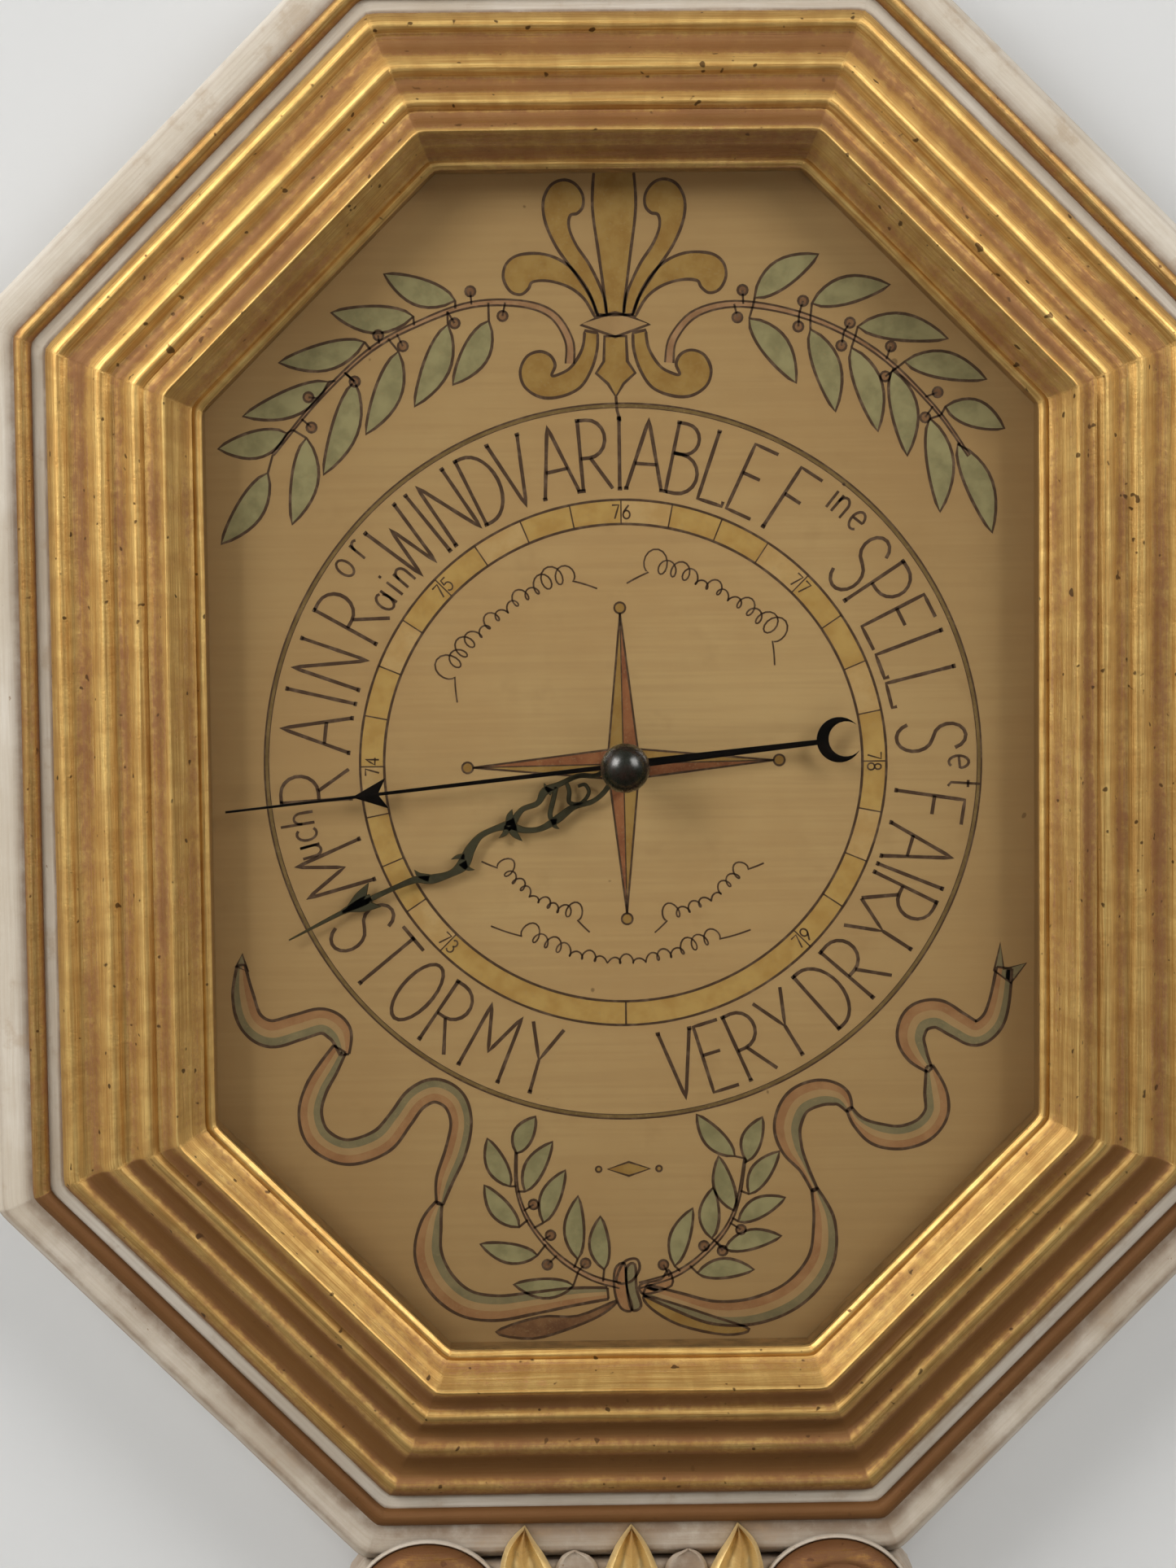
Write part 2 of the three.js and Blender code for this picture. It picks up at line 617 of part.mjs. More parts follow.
// The rocking shaft with its short crank and long chain arm, tilted to its rest position.
{
  const alongX = (x0, x1, radius) => new THREE.CylinderGeometry(radius, radius, x1 - x0, 16)
    .rotateZ(Math.PI / 2).translate((x0 + x1) / 2, 0, 0);
  const chainArm = block([CHAIN_X - 0.5, -CHAIN_ARM, -0.7], [CHAIN_X + 0.5, 0, 0.7]);
  const crank = block([CRANK_X - 0.6, -0.7, -CRANK_ARM], [CRANK_X + 0.6, 0.7, 0]);
  const shaft = join(alongX(SHAFT.left, SHAFT.right, SHAFT.radius), chainArm, crank);
  add("rocking_shaft", "steel", shaft.rotateX(SHAFT_REST).translate(0, SHAFT.y, SHAFT.z));
}
for (const [name, inner, outer] of [["left", SHAFT.left, -24.5], ["right", SHAFT.right, 16.5]]) {
  const face = inner + Math.sign(outer - inner) * GAP;
  add(`shaft_bearing_${name}`, "brass", block(
    [Math.min(face, outer), MOVEMENT_FLOOR, SHAFT.z - 2.5],
    [Math.max(face, outer), SHAFT.y + 2.2, SHAFT.z + 2.5]));
}
{
  const drumMiddle = (DRUM_FRONT + DRUM_BACK) / 2;
  const armTip = SHAFT.z - CHAIN_ARM * Math.sin(SHAFT_REST);
  add("chain", "steel", block(
    [CHAIN_X - 0.4, drumMiddle - 0.4, -6], [CHAIN_X + 0.4, drumMiddle + 0.4, armTip - 1.3]));
}

// ---------------------------------------------------------------- hands

const ARBOR_FRONT = -38.8;
const HAND_BACK = -36.6;
const HAND_FRONT = HAND_BACK - 0.8;
const COLLET = { radius: 2.6, flange: 4 };
add("hand_arbor", "steel", turned([
  [0, ARBOR_FRONT], [1, ARBOR_FRONT], [1, DRUM_FRONT], [2.4, DRUM_FRONT], [2.4, DRUM_FRONT + 0.3],
  [DRUM_RADIUS, DRUM_FRONT + 0.3], [DRUM_RADIUS, DRUM_BACK - 0.3], [2.4, DRUM_BACK - 0.3],
  [2.4, DRUM_BACK], [0.6, DRUM_BACK], [0.6, BRIDGE_BACK + 0.6], [0, BRIDGE_BACK + 0.6],
]));
add("hand_collet", "hand", turned([
  [1 + GAP, -35.4], [COLLET.radius, -35.4], [COLLET.radius, HAND_FRONT - GAP],
  [COLLET.flange, HAND_FRONT - GAP], [COLLET.flange, ARBOR_FRONT + 0.4],
  [1 + GAP, ARBOR_FRONT + 0.4], [1 + GAP, -35.4],
]));
add("arbor_bridge", "brass", cut(
  block([-BRIDGE_REACH - 3, BRIDGE_FRONT, -3.5], [BRIDGE_REACH + 3, BRIDGE_BACK, 3.5]),
  rod(0.6 + GAP, BRIDGE_FRONT - 1, BRIDGE_BACK + 1, 0, 0, 12),
));
for (const [name, side] of [["left", -1], ["right", 1]]) {
  add(`bridge_pillar_${name}`, "brass",
    rod(2.2, MOVEMENT_FLOOR, BRIDGE_FRONT - GAP, side * BRIDGE_REACH, 0, 12));
}
// The hairspring is a flat spiral of three turns that takes up the slack of the chain.
{
  const turns = 3;
  const pointsPerTurn = 14;
  const edge = (out) => Array.from({ length: turns * pointsPerTurn + 1 }, (_, i) => {
    const angle = (2 * Math.PI * i) / pointsPerTurn;
    const radius = 1.8 + (6.4 * i) / (turns * pointsPerTurn) + out;
    return [radius * Math.cos(angle), radius * Math.sin(angle)];
  });
  add("hairspring", "steel", slab(shapeOf([...edge(0.35), ...edge(0).reverse()]), -20.1, -19.4));
}

// Turns a hand drawn pointing up to its clockwise bearing.
const aimed = (geometry, bearing) => geometry.rotateY(THREE.MathUtils.degToRad(bearing));

// The indicating hand winds like a stem, with a leafy star, a swelling leaf and an arrow.
{
  const length = POINTER_LENGTH;
  const stem = strip(
    [[0, 3.4], [-1.5, 9], [0.3, 18], [1, 29], [3, 38], [3.5, 44.5], [0.6, 52], [-2.8, 58],
      [-1.6, 69], [0.2, 80], [0.3, 95], [0, length]],
    [1.6, 2.4, 2.2, 2.4, 1.8, 1.2, 1.1, 1.6, 2.2, 1.1, 0.9, 0.3], 44);
  const layer = (shape) => slab(shape, HAND_FRONT, HAND_BACK);
  const star = layer(shapeOf(
    [[3, 32], [5, 36], [9, 38], [5, 40], [3, 44], [1, 40], [-3, 38], [1, 36]]));
  const arrow = layer(shapeOf([[0, 84], [4.2, 86], [0.4, 98], [-3.6, 86]]));
  const hub = tube(COLLET.radius + GAP, 5, HAND_FRONT, HAND_BACK);
  add("indicating_hand", "hand", aimed(join(hub, layer(stem), star, arrow), POINTER_BEARING));
}

// The set hand is a thin rod with an arrowhead and a crescent counterpoise.
const SET_HAND_BACK = -39.8;
const SET_HAND_FRONT = SET_HAND_BACK - 0.8;
{
  const layer = (shape) => slab(shape, SET_HAND_FRONT, SET_HAND_BACK, 10);
  const needle = layer(shapeOf(
    [[0.75, 3], [0.35, SET_HAND_LENGTH], [-0.35, SET_HAND_LENGTH], [-0.75, 3]]));
  const arrow = layer(shapeOf([[0, 84], [4.8, 73], [0, 76], [-4.8, 73]]));
  const tail = layer(shapeOf([[1.3, -3], [0.8, -62], [-0.8, -62], [-1.3, -3]]));
  const moon = cut(rod(7, SET_HAND_FRONT, SET_HAND_BACK, 0, -66.5, 28),
    rod(5.4, SET_HAND_FRONT - 1, SET_HAND_BACK + 1, 0, -68.6, 24));
  const hub = tube(SET_ARBOR_RADIUS + GAP, 4, SET_HAND_FRONT, SET_HAND_BACK);
  add("set_hand", "black", aimed(join(hub, needle, arrow, tail, moon), SET_HAND_BEARING));
}

// The set hand's arbor runs in the bush through the glass, and the knob is pressed on it.
const KNOB_BACK = GLASS_FRONT - 5 * GAP;
const KNOB_MIDDLE = KNOB_BACK - 0.6 - KNOB_RADIUS;
add("set_arbor", "steel", turned([
  [0, KNOB_MIDDLE + 1], [SET_ARBOR_RADIUS, KNOB_MIDDLE + 1],
  [SET_ARBOR_RADIUS, GLASS_BACK + 3 * GAP],
  [3, GLASS_BACK + 3 * GAP], [3, SET_HAND_FRONT - GAP], [SET_ARBOR_RADIUS, SET_HAND_FRONT - GAP],
  [SET_ARBOR_RADIUS, SET_HAND_BACK + GAP], [0, SET_HAND_BACK + GAP],
]));
add("knob_washer", "brass",
  tube(SET_ARBOR_RADIUS + GAP, 4, KNOB_BACK + GAP, GLASS_FRONT - 3 * GAP));
{
  const bore = SET_ARBOR_RADIUS + GAP;
  const profile = [[bore, KNOB_BACK], [3.6, KNOB_BACK]];
  const steps = 14;
  const neck = Math.asin(3.6 / KNOB_RADIUS);
  for (let i = 0; i <= steps; i++) {
    const turn = neck + ((Math.PI - neck) * i) / steps;
    profile.push([KNOB_RADIUS * Math.sin(turn), KNOB_MIDDLE + KNOB_RADIUS * Math.cos(turn)]);
  }
  profile[profile.length - 1][0] = 0;
  profile.push([0, KNOB_MIDDLE + 0.7], [bore, KNOB_MIDDLE + 0.7], [bore, KNOB_BACK]);
  add("set_knob", "black", turned(profile, 0, 0, 28));
}

export default barometer;
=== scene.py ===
"""Looks of the octagonal wall barometer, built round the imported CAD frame."""
import math

import bmesh
import bpy
import numpy as np
from mathutils import Matrix, Vector, noise
from mathutils.geometry import tessellate_polygon


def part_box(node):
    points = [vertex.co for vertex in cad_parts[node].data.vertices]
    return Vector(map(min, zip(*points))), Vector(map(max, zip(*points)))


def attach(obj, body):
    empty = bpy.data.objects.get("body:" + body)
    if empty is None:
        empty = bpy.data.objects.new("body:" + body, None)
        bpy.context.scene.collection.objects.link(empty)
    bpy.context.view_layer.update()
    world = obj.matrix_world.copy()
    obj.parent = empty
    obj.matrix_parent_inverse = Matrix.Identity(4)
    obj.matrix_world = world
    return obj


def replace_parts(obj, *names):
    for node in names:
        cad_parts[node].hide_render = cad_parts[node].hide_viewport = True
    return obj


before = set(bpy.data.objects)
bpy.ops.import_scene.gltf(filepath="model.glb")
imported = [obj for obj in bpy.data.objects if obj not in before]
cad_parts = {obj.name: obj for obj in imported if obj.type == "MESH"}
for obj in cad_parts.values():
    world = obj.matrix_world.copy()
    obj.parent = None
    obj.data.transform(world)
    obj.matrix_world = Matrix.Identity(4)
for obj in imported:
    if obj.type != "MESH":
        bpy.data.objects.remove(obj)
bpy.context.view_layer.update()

MM = 0.001

# ------------------------------------------------------------------ sizes, in millimetres
# The front is -Y and +Z is up, as in the frame. Offsets grow the octagon of the sight edge.


def node_box(node):
    """The low and high corners of a CAD node."""
    low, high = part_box(node)
    return low / MM, high / MM


GLASS_EDGE = 4.2
SIGHT_WIDTH = node_box("glass_pane")[1].x - GLASS_EDGE      # half the opening
SIGHT_HEIGHT = node_box("glass_pane")[1].z - GLASS_EDGE
SIGHT_CHAMFER = 71.0
CHAMFER_GROWTH = 2 - math.sqrt(2)
DIAL_FACE = node_box("dial_plate")[0].y
BODY_FRONT = node_box("case_body")[0].y
BODY_EDGE = node_box("case_body")[1].x - SIGHT_WIDTH
FRAME_EDGE = node_box("frame_rail_right")[1].x - SIGHT_WIDTH
BEAD_OUTER = node_box("gilt_bead")[1].x - SIGHT_WIDTH
BEAD_WIDTH = 5.4


def octagon(offset):
    """The eight corners (x, z) of the sight octagon grown by an offset, clockwise."""
    w = SIGHT_WIDTH + offset
    h = SIGHT_HEIGHT + offset
    c = SIGHT_CHAMFER + offset * CHAMFER_GROWTH
    return [(c - w, h), (w - c, h), (w, h - c), (w, c - h),
            (w - c, -h), (c - w, -h), (-w, c - h), (-w, h - c)]


def wobble(point, scale, amount, seed):
    """Smooth noise of a few parts, as a signed length."""
    return amount * noise.noise(Vector(point) / scale + Vector((seed, seed * 1.7, -seed)))


# ------------------------------------------------------------------ meshes

def add_object(name, verts, faces, material, body, smooth=True):
    """A piece from millimetre vertices, riding on a body."""
    mesh = bpy.data.meshes.new(name)
    mesh.from_pydata([tuple(c * MM for c in v) for v in verts], [], faces)
    mesh.validate()
    return add_mesh(mesh, material, body, smooth, 40)


def add_mesh(mesh, material, body, smooth, sharp_angle):
    """A piece from a mesh: outward faces, shading, material, body and slot."""
    bm = bmesh.new()
    bm.from_mesh(mesh)
    bmesh.ops.recalc_face_normals(bm, faces=bm.faces)
    for face in bm.faces:
        face.smooth = smooth
    for edge in bm.edges:
        if len(edge.link_faces) == 2 and edge.calc_face_angle(0) > math.radians(sharp_angle):
            edge.smooth = False
    bm.to_mesh(mesh)
    bm.free()
    mesh.materials.clear()
    mesh.materials.append(material)
    piece = bpy.data.objects.new(mesh.name, mesh)
    bpy.context.scene.collection.objects.link(piece)
    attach(piece, body)
    return piece


def dress(piece, hollows, lay):
    """Gives each vertex its hollow value, where dirt gathers and, on lower sides, painted shade, and its
    place along the work, for streaks.
    """
    depth = piece.data.attributes.new("hollow", "FLOAT", "POINT")
    depth.data.foreach_set("value", np.array(hollows, dtype=np.float32))
    place = piece.data.attributes.new("lay", "FLOAT_VECTOR", "POINT")
    place.data.foreach_set("vector", np.array(lay, dtype=np.float32).ravel())


def flat_lay(piece):
    """Streaks that run across the front, as on carving."""
    return [(v.co.x / MM, v.co.z / MM, 0) for v in piece.data.vertices]


def ring_rows(count, size, start=0):
    """The vertex numbers of rings laid down one after another."""
    return [range(start + size * i, start + size * (i + 1)) for i in range(count)]


def tube_faces(rows):
    """Quads between each ring of vertices and the next."""
    faces = []
    for a, b in zip(rows, rows[1:]):
        for k in range(len(a)):
            n = (k + 1) % len(a)
            faces.append((a[k], a[n], b[n], b[k]))
    return faces


def revolve(profile, sides, axis, place):
    """Vertices and faces of a profile of (radius, height) turned about the Y or Z axis."""
    verts = []
    rows = []
    for radius, height in profile:
        if radius < 1e-6:
            rows.append([len(verts)] * sides)
            verts.append((0, height, 0))
            continue
        rows.append(list(range(len(verts), len(verts) + sides)))
        for k in range(sides):
            a = 2 * math.pi * k / sides
            verts.append((radius * math.cos(a), height, radius * math.sin(a)))
    faces = [list(dict.fromkeys(face)) for face in tube_faces(rows)]
    faces = [face for face in faces if len(face) > 2]
    if axis == "Z":
        verts = [(x, -z, y) for x, y, z in verts]
    return [tuple(c + p for c, p in zip(v, place)) for v in verts], faces


def stations(length, step):
    """Positions along a side from 0 to 1, closer together near the mitres."""
    near = [0.0, 0.6, 1.6, 3.2]
    middle = max(2, int((length - 2 * near[-1]) / step))
    inner = [near[-1] + (length - 2 * near[-1]) * i / middle for i in range(1, middle)]
    places = near + inner + [length - d for d in reversed(near[1:])]
    return [p / length for p in places]


SIDE_SHIFT = 400      # keeps the streaks of neighbouring sides apart
MITRE_REACH = 1.3


def octagon_ring(profile, step, soften):
    """A moulding of (offset, y) points carried round the octagon with softened mitres. Returns
    vertices, faces, and for each vertex its (along, across, side) lay."""
    corners = [octagon(offset) for offset, _ in profile]
    across = [0.0]
    for here, there in zip(profile, profile[1:]):
        across.append(across[-1] + math.dist(here, there))
    verts = []
    lay = []
    for side in range(8):
        length = math.dist(corners[0][side], corners[0][(side + 1) % 8])
        for t in stations(length, step):
            mitre = sum(math.exp(-(share * length / MITRE_REACH) ** 2) for share in (t, 1 - t))
            for k, (_, y) in enumerate(profile):
                a, b = corners[k][side], corners[k][(side + 1) % 8]
                x = a[0] + (b[0] - a[0]) * t
                z = a[1] + (b[1] - a[1]) * t
                shrink = 1 - soften * mitre / math.hypot(x, z)
                verts.append([x * shrink, y, z * shrink])
                lay.append((t * length + SIDE_SHIFT * side, across[k], side))
    rows = ring_rows(len(verts) // len(profile), len(profile))
    return verts, tube_faces(rows + rows[:1]), lay


def bow(profile, end, rise, steps):
    """Adds a round or hollow to a profile of (offset, y, hollow)."""
    o0, y0, _ = profile[-1]
    depth = math.copysign(min(1.0, abs(rise) / 2), rise)
    for i in range(1, steps + 1):
        t = i / steps
        lift = rise * math.sin(math.pi * t)
        profile.append((o0 + (end[0] - o0) * t, y0 + (end[1] - y0) * t - lift,
                        -depth * max(0.0, math.sin(math.pi * t)) ** 0.7))


# ------------------------------------------------------------------ paths in (x, z)

def polar(bearing, radius):
    """Point about the dial's centre at a clockwise bearing from the top."""
    a = math.radians(bearing)
    return (radius * math.sin(a), radius * math.cos(a))


def smooth(points, per_span, closed=False):
    """Catmull-Rom curve through points."""
    count = len(points)
    result = []
    spans = count if closed else count - 1
    for i in range(spans):
        if closed:
            p = [points[(i + k - 1) % count] for k in range(4)]
        else:
            p = [points[min(max(i + k - 1, 0), count - 1)] for k in range(4)]
        for s in range(per_span):
            t = s / per_span
            result.append(tuple(
                0.5 * (2 * p[1][c] + (p[2][c] - p[0][c]) * t
                       + (2 * p[0][c] - 5 * p[1][c] + 4 * p[2][c] - p[3][c]) * t * t
                       + (3 * p[1][c] - p[0][c] - 3 * p[2][c] + p[3][c]) * t ** 3)
                for c in range(2)))
    if not closed:
        result.append(points[-1])
    return result


def smooth_widths(halves, per_span):
    """The same curve through single numbers."""
    return [half for half, _ in smooth([(half, 0) for half in halves], per_span)]


def mirror(points):
    """The same points on the other side of the middle."""
    return [(-x, z) for x, z in points]


def beside(points, halves, closed=False):
    """The lines that run a half width to the left and to the right of a path."""
    count = len(points)
    left = []
    right = []
    for i, ((x, z), half) in enumerate(zip(points, halves)):
        if closed:
            a, b = points[i - 1], points[(i + 1) % count]
        else:
            a, b = points[max(i - 1, 0)], points[min(i + 1, count - 1)]
        dx, dz = b[0] - a[0], b[1] - a[1]
        size = math.hypot(dx, dz) or 1.0
        left.append((x - dz / size * half, z + dx / size * half))
        right.append((x + dz / size * half, z - dx / size * half))
    return left, right


# ------------------------------------------------------------------ shader helpers

def srgb(red, green, blue):
    """Linear colour from everyday 0-255 values."""
    def line(c):
        c /= 255
        return c / 12.92 if c <= 0.04045 else ((c + 0.055) / 1.055) ** 2.4
    return (line(red), line(green), line(blue))


class Nodes:
    """Short calls for building a material's node tree."""

    def __init__(self, name):
        self.material = bpy.data.materials.new(name)
        self.material.use_nodes = True
        self.tree = self.material.node_tree
        self.tree.nodes.clear()
        self.out = self.tree.nodes.new("ShaderNodeOutputMaterial")

    def new(self, kind, inputs=None, **settings):
        """A node. Inputs are sockets to link, or plain values."""
        node = self.tree.nodes.new(kind)
        for key, value in settings.items():
            setattr(node, key, value)
        for key, value in (inputs or {}).items():
            socket = node.inputs[key]
            if isinstance(value, bpy.types.NodeSocket):
                self.tree.links.new(value, socket)
            elif isinstance(value, bpy.types.Node):
                self.tree.links.new(value.outputs[0], socket)
            else:
                socket.default_value = value
        return node

    def coords(self):
        """Each point's place on its own object, in metres."""
        return self.new("ShaderNodeTexCoord").outputs["Object"]

    def attribute(self, name, output="Fac"):
        return self.new("ShaderNodeAttribute", attribute_name=name).outputs[output]

    def mapped(self, vector, scale):
        return self.new("ShaderNodeMapping", {"Vector": vector, "Scale": scale})

    def noise(self, vector, scale, detail=4.0, rough=0.55, distortion=0.0):
        return self.new("ShaderNodeTexNoise", {"Vector": vector, "Scale": scale, "Detail": detail,
                                               "Roughness": rough, "Distortion": distortion}).outputs["Fac"]

    def band(self, value, low, high, to_low=0.0, to_high=1.0):
        """Maps low..high to to_low..to_high, clamped and smoothed."""
        return self.new("ShaderNodeMapRange", {"Value": value, "From Min": low, "From Max": high,
                                               "To Min": to_low, "To Max": to_high},
                        interpolation_type="SMOOTHSTEP").outputs["Result"]

    def math(self, operation, a, b, clamp=False):
        return self.new("ShaderNodeMath", {0: a, 1: b}, operation=operation, use_clamp=clamp).outputs[0]

    def mix(self, factor, a, b):
        """Mixes two colours, each one a socket or a tuple of 0-255 values."""
        a, b = [(*srgb(*c), 1) if isinstance(c, tuple) else c for c in (a, b)]
        return self.new("ShaderNodeMix", {0: factor, 6: a, 7: b}, data_type="RGBA").outputs[2]

    def weigh(self, *terms):
        """The sum of (value, weight) pairs."""
        total = None
        for value, weight in terms:
            part = self.math("MULTIPLY", value, weight)
            total = part if total is None else self.math("ADD", total, part)
        return total

    def bump(self, height, strength, distance):
        inputs = {"Height": height, "Strength": strength, "Distance": distance}
        return self.new("ShaderNodeBump", inputs).outputs["Normal"]

    def surface(self, **inputs):
        """Finishes the material with one surface shader."""
        named = {key.replace("_", " "): value for key, value in inputs.items()}
        shader = self.new("ShaderNodeBsdfPrincipled", named)
        self.tree.links.new(shader.outputs[0], self.out.inputs[0])
        return self.material


# ------------------------------------------------------------------ materials

def gilding(name, worn=0.5, shade=0.0, painted_light=0.0):
    """Burnished leaf over red bole: streaks along the moulding, rubbed and dirty hollows, painted
    shade carried by the hollow values on lower sides, and an optional painted light over all.
    """
    n = Nodes(name)
    place = n.coords()
    lay = n.attribute("lay", "Vector")
    hollow = n.attribute("hollow")
    streaks = n.noise(n.mapped(lay, (0.03, 1.6, 1)), 1.0, 6, 0.65)
    laps = n.noise(n.mapped(lay, (0.18, 0.05, 1)), 1.0, 3, 0.5)
    cloud = n.noise(place, 28, 5, 0.6)
    grain = n.noise(place, 420, 3, 0.6)
    fine = n.noise(place, 1500, 2, 0.5)
    leaf = n.mix(n.band(streaks, 0.32, 0.68), (198, 152, 84), (242, 208, 132))
    leaf = n.mix(n.band(laps, 0.35, 0.65, 0, 0.4), leaf, (184, 134, 72))
    rub = n.weigh((hollow, 0.17), (streaks, 0.55), (n.math("ADD", cloud, grain), 0.30))
    bole_mask = n.band(rub, 0.64 - 0.06 * worn, 0.80 - 0.06 * worn, 0, 0.72)
    # The hollow values carry dirt in the hollows and painted shade on the lower and top sides.
    dirt_and_shade_mask = n.math("MULTIPLY", n.band(hollow, -0.2, 1.0), n.band(cloud, 0.3, 0.7, 0.35, 0.9))
    # Darkest where the hollow values run highest, mostly painted shade on the lower sides.
    deep_dirt_and_shade = n.band(hollow, 0.3, 1.9, 0, 0.8)
    specks = n.band(n.noise(place, 330, 1, 0.4), 0.72, 0.77)
    color = n.mix(bole_mask, leaf, (150, 92, 62))
    color = n.mix(n.math("MULTIPLY", dirt_and_shade_mask, 0.5), color, (84, 52, 26))
    color = n.mix(n.math("MULTIPLY", specks, 0.8), color, (60, 34, 16))
    color = n.mix(deep_dirt_and_shade, color, (114, 76, 27))
    color = n.mix(shade, color, (96, 58, 26))
    # Painted light: lifts the whole colour towards pale gold, for the bright light on the carved leaves.
    color = n.mix(painted_light, color, (255, 228, 164))
    covered = n.math("MAXIMUM", bole_mask, n.math("MAXIMUM", deep_dirt_and_shade, n.math("MULTIPLY", dirt_and_shade_mask, 0.55)))
    metal = n.math("SUBTRACT", 0.84, n.math("MULTIPLY", covered, 0.62), True)
    rough = n.math("ADD", 0.44, n.math("MULTIPLY", covered, 0.20))
    rough = n.math("ADD", rough, n.math("MULTIPLY", grain, 0.10))
    height = n.weigh((streaks, 0.5), (grain, 0.35), (fine, 0.15))
    return n.surface(Base_Color=color, Metallic=metal, Roughness=rough,
                     Normal=n.bump(height, 0.5, 0.0006))


def cream_paint(name):
    """Old grey-white paint over gesso: brushed, darker near the gilding, with dirt in places and painted
    shade on the lower sides, rubbed on the edges.
    """
    n = Nodes(name)
    place = n.coords()
    hollow = n.attribute("hollow")
    lay = n.attribute("lay", "Vector")
    brush = n.noise(n.mapped(lay, (0.05, 1.2, 1)), 1.0, 5, 0.6)
    cloud = n.noise(place, 22, 6, 0.62)
    patch = n.noise(place, 75, 5, 0.65)
    grain = n.noise(place, 900, 2, 0.5)
    base = n.mix(n.band(cloud, 0.35, 0.7), (192, 182, 166), (208, 201, 189))
    base = n.mix(n.band(brush, 0.4, 0.65, 0, 0.30), base, (176, 160, 140))
    # The hollow values carry dirt, darkening beside the frame and bead, and painted shade on lower sides.
    grime_and_shade = n.math("MULTIPLY", n.band(hollow, 0.0, 1.0), n.band(patch, 0.25, 0.6, 0.45, 1.0))
    base = n.mix(n.math("MULTIPLY", grime_and_shade, 0.8), base, (112, 84, 56))
    stain = n.band(patch, 0.56, 0.70, 0, 0.4)
    base = n.mix(stain, base, (160, 136, 108))
    chips = n.band(n.noise(place, 210, 4, 0.7), 0.70, 0.74)
    base = n.mix(n.math("MULTIPLY", chips, 0.7), base, (128, 98, 66))
    height = n.math("SUBTRACT", n.weigh((brush, 0.6), (grain, 0.2)), n.math("MULTIPLY", chips, 0.4))
    return n.surface(Base_Color=base, Roughness=n.band(cloud, 0.3, 0.7, 0.58, 0.72),
                     Normal=n.bump(height, 0.4, 0.0005))


def dial_paper(name):
    """Aged tan paper with a faint laid grain and foxing, darker towards its margins as painted shade."""
    n = Nodes(name)
    place = n.coords()
    fibre = n.noise(n.mapped(place, (60, 60, 900)), 1.0, 3, 0.6)
    laid = n.noise(n.mapped(place, (14, 14, 520)), 1.0, 2, 0.5)
    cloud = n.noise(place, 14, 5, 0.6)
    blot = n.noise(place, 60, 4, 0.6)
    spots = n.band(n.noise(place, 150, 1, 0.3), 0.80, 0.815)
    radius = n.new("ShaderNodeVectorMath", {0: n.mapped(place, (1.15, 0, 0.82)).outputs[0]},
                   operation="LENGTH").outputs["Value"]
    color = n.mix(n.band(cloud, 0.3, 0.7), (202, 163, 110), (212, 176, 122))
    color = n.mix(n.band(laid, 0.35, 0.65, 0, 0.30), color, (188, 150, 100))
    color = n.mix(n.band(fibre, 0.45, 0.75, 0, 0.16), color, (210, 178, 128))
    color = n.mix(n.band(blot, 0.55, 0.75, 0, 0.22), color, (168, 131, 82))
    # Painted shade: the paper darkens towards its margins, where the frame shades it.
    color = n.mix(n.band(radius, 0.05, 0.17, 0, 0.5), color, (160, 122, 74))
    color = n.mix(n.math("MULTIPLY", spots, 0.55), color, (96, 66, 38))
    height = n.weigh((fibre, 0.5), (laid, 0.5))
    return n.surface(Base_Color=color, Roughness=0.82, Normal=n.bump(height, 0.25, 0.0002))


def wash(name, light, dark):
    """Watercolour on the paper: uneven pigment with darker pools."""
    n = Nodes(name)
    place = n.coords()
    pool = n.noise(place, 120, 5, 0.6)
    grain = n.noise(place, 1300, 2, 0.6)
    color = n.mix(n.band(pool, 0.35, 0.68), light, dark)
    color = n.mix(n.band(grain, 0.55, 0.75, 0, 0.35), color, (180, 152, 106))
    return n.surface(Base_Color=color, Roughness=0.8, Normal=n.bump(grain, 0.2, 0.0001))


def ink(name, color):
    """Brown-black pen ink that thins in places."""
    n = Nodes(name)
    place = n.coords()
    thin = n.noise(place, 260, 4, 0.65)
    pale = tuple(c + 38 for c in color)
    return n.surface(Base_Color=n.mix(n.band(thin, 0.45, 0.72), color, pale), Roughness=0.65,
                     Normal=n.bump(thin, 0.15, 0.0001))


def metal(name, color, rough, tarnish=(60, 45, 30), amount=0.35):
    """Worked metal with fine scratches and patches of tarnish."""
    n = Nodes(name)
    place = n.coords()
    scratch = n.noise(n.mapped(place, (300, 300, 300)), 1.0, 4, 0.65)
    patch = n.noise(place, 90, 5, 0.6)
    base = n.mix(n.band(patch, 0.42, 0.72, 0, amount), color, tarnish)
    rough_value = n.math("ADD", rough, n.math("MULTIPLY", n.band(patch, 0.4, 0.7), 0.2))
    return n.surface(Base_Color=base, Metallic=0.95, Roughness=rough_value,
                     Normal=n.bump(scratch, 0.15, 0.0001))


def knob_black(name):
    """Blackened polished steel, with faint warm and green patches."""
    n = Nodes(name)
    place = n.coords()
    patch = n.noise(place, 160, 3, 0.5)
    fine = n.noise(place, 900, 2, 0.5)
    base = n.mix(n.band(patch, 0.4, 0.65), (20, 22, 12), (40, 24, 18))
    return n.surface(Base_Color=base, Metallic=0.0, Roughness=n.band(fine, 0.3, 0.7, 0.22, 0.32),
                     Specular_IOR_Level=0.7, Normal=n.bump(fine, 0.05, 0.0001))


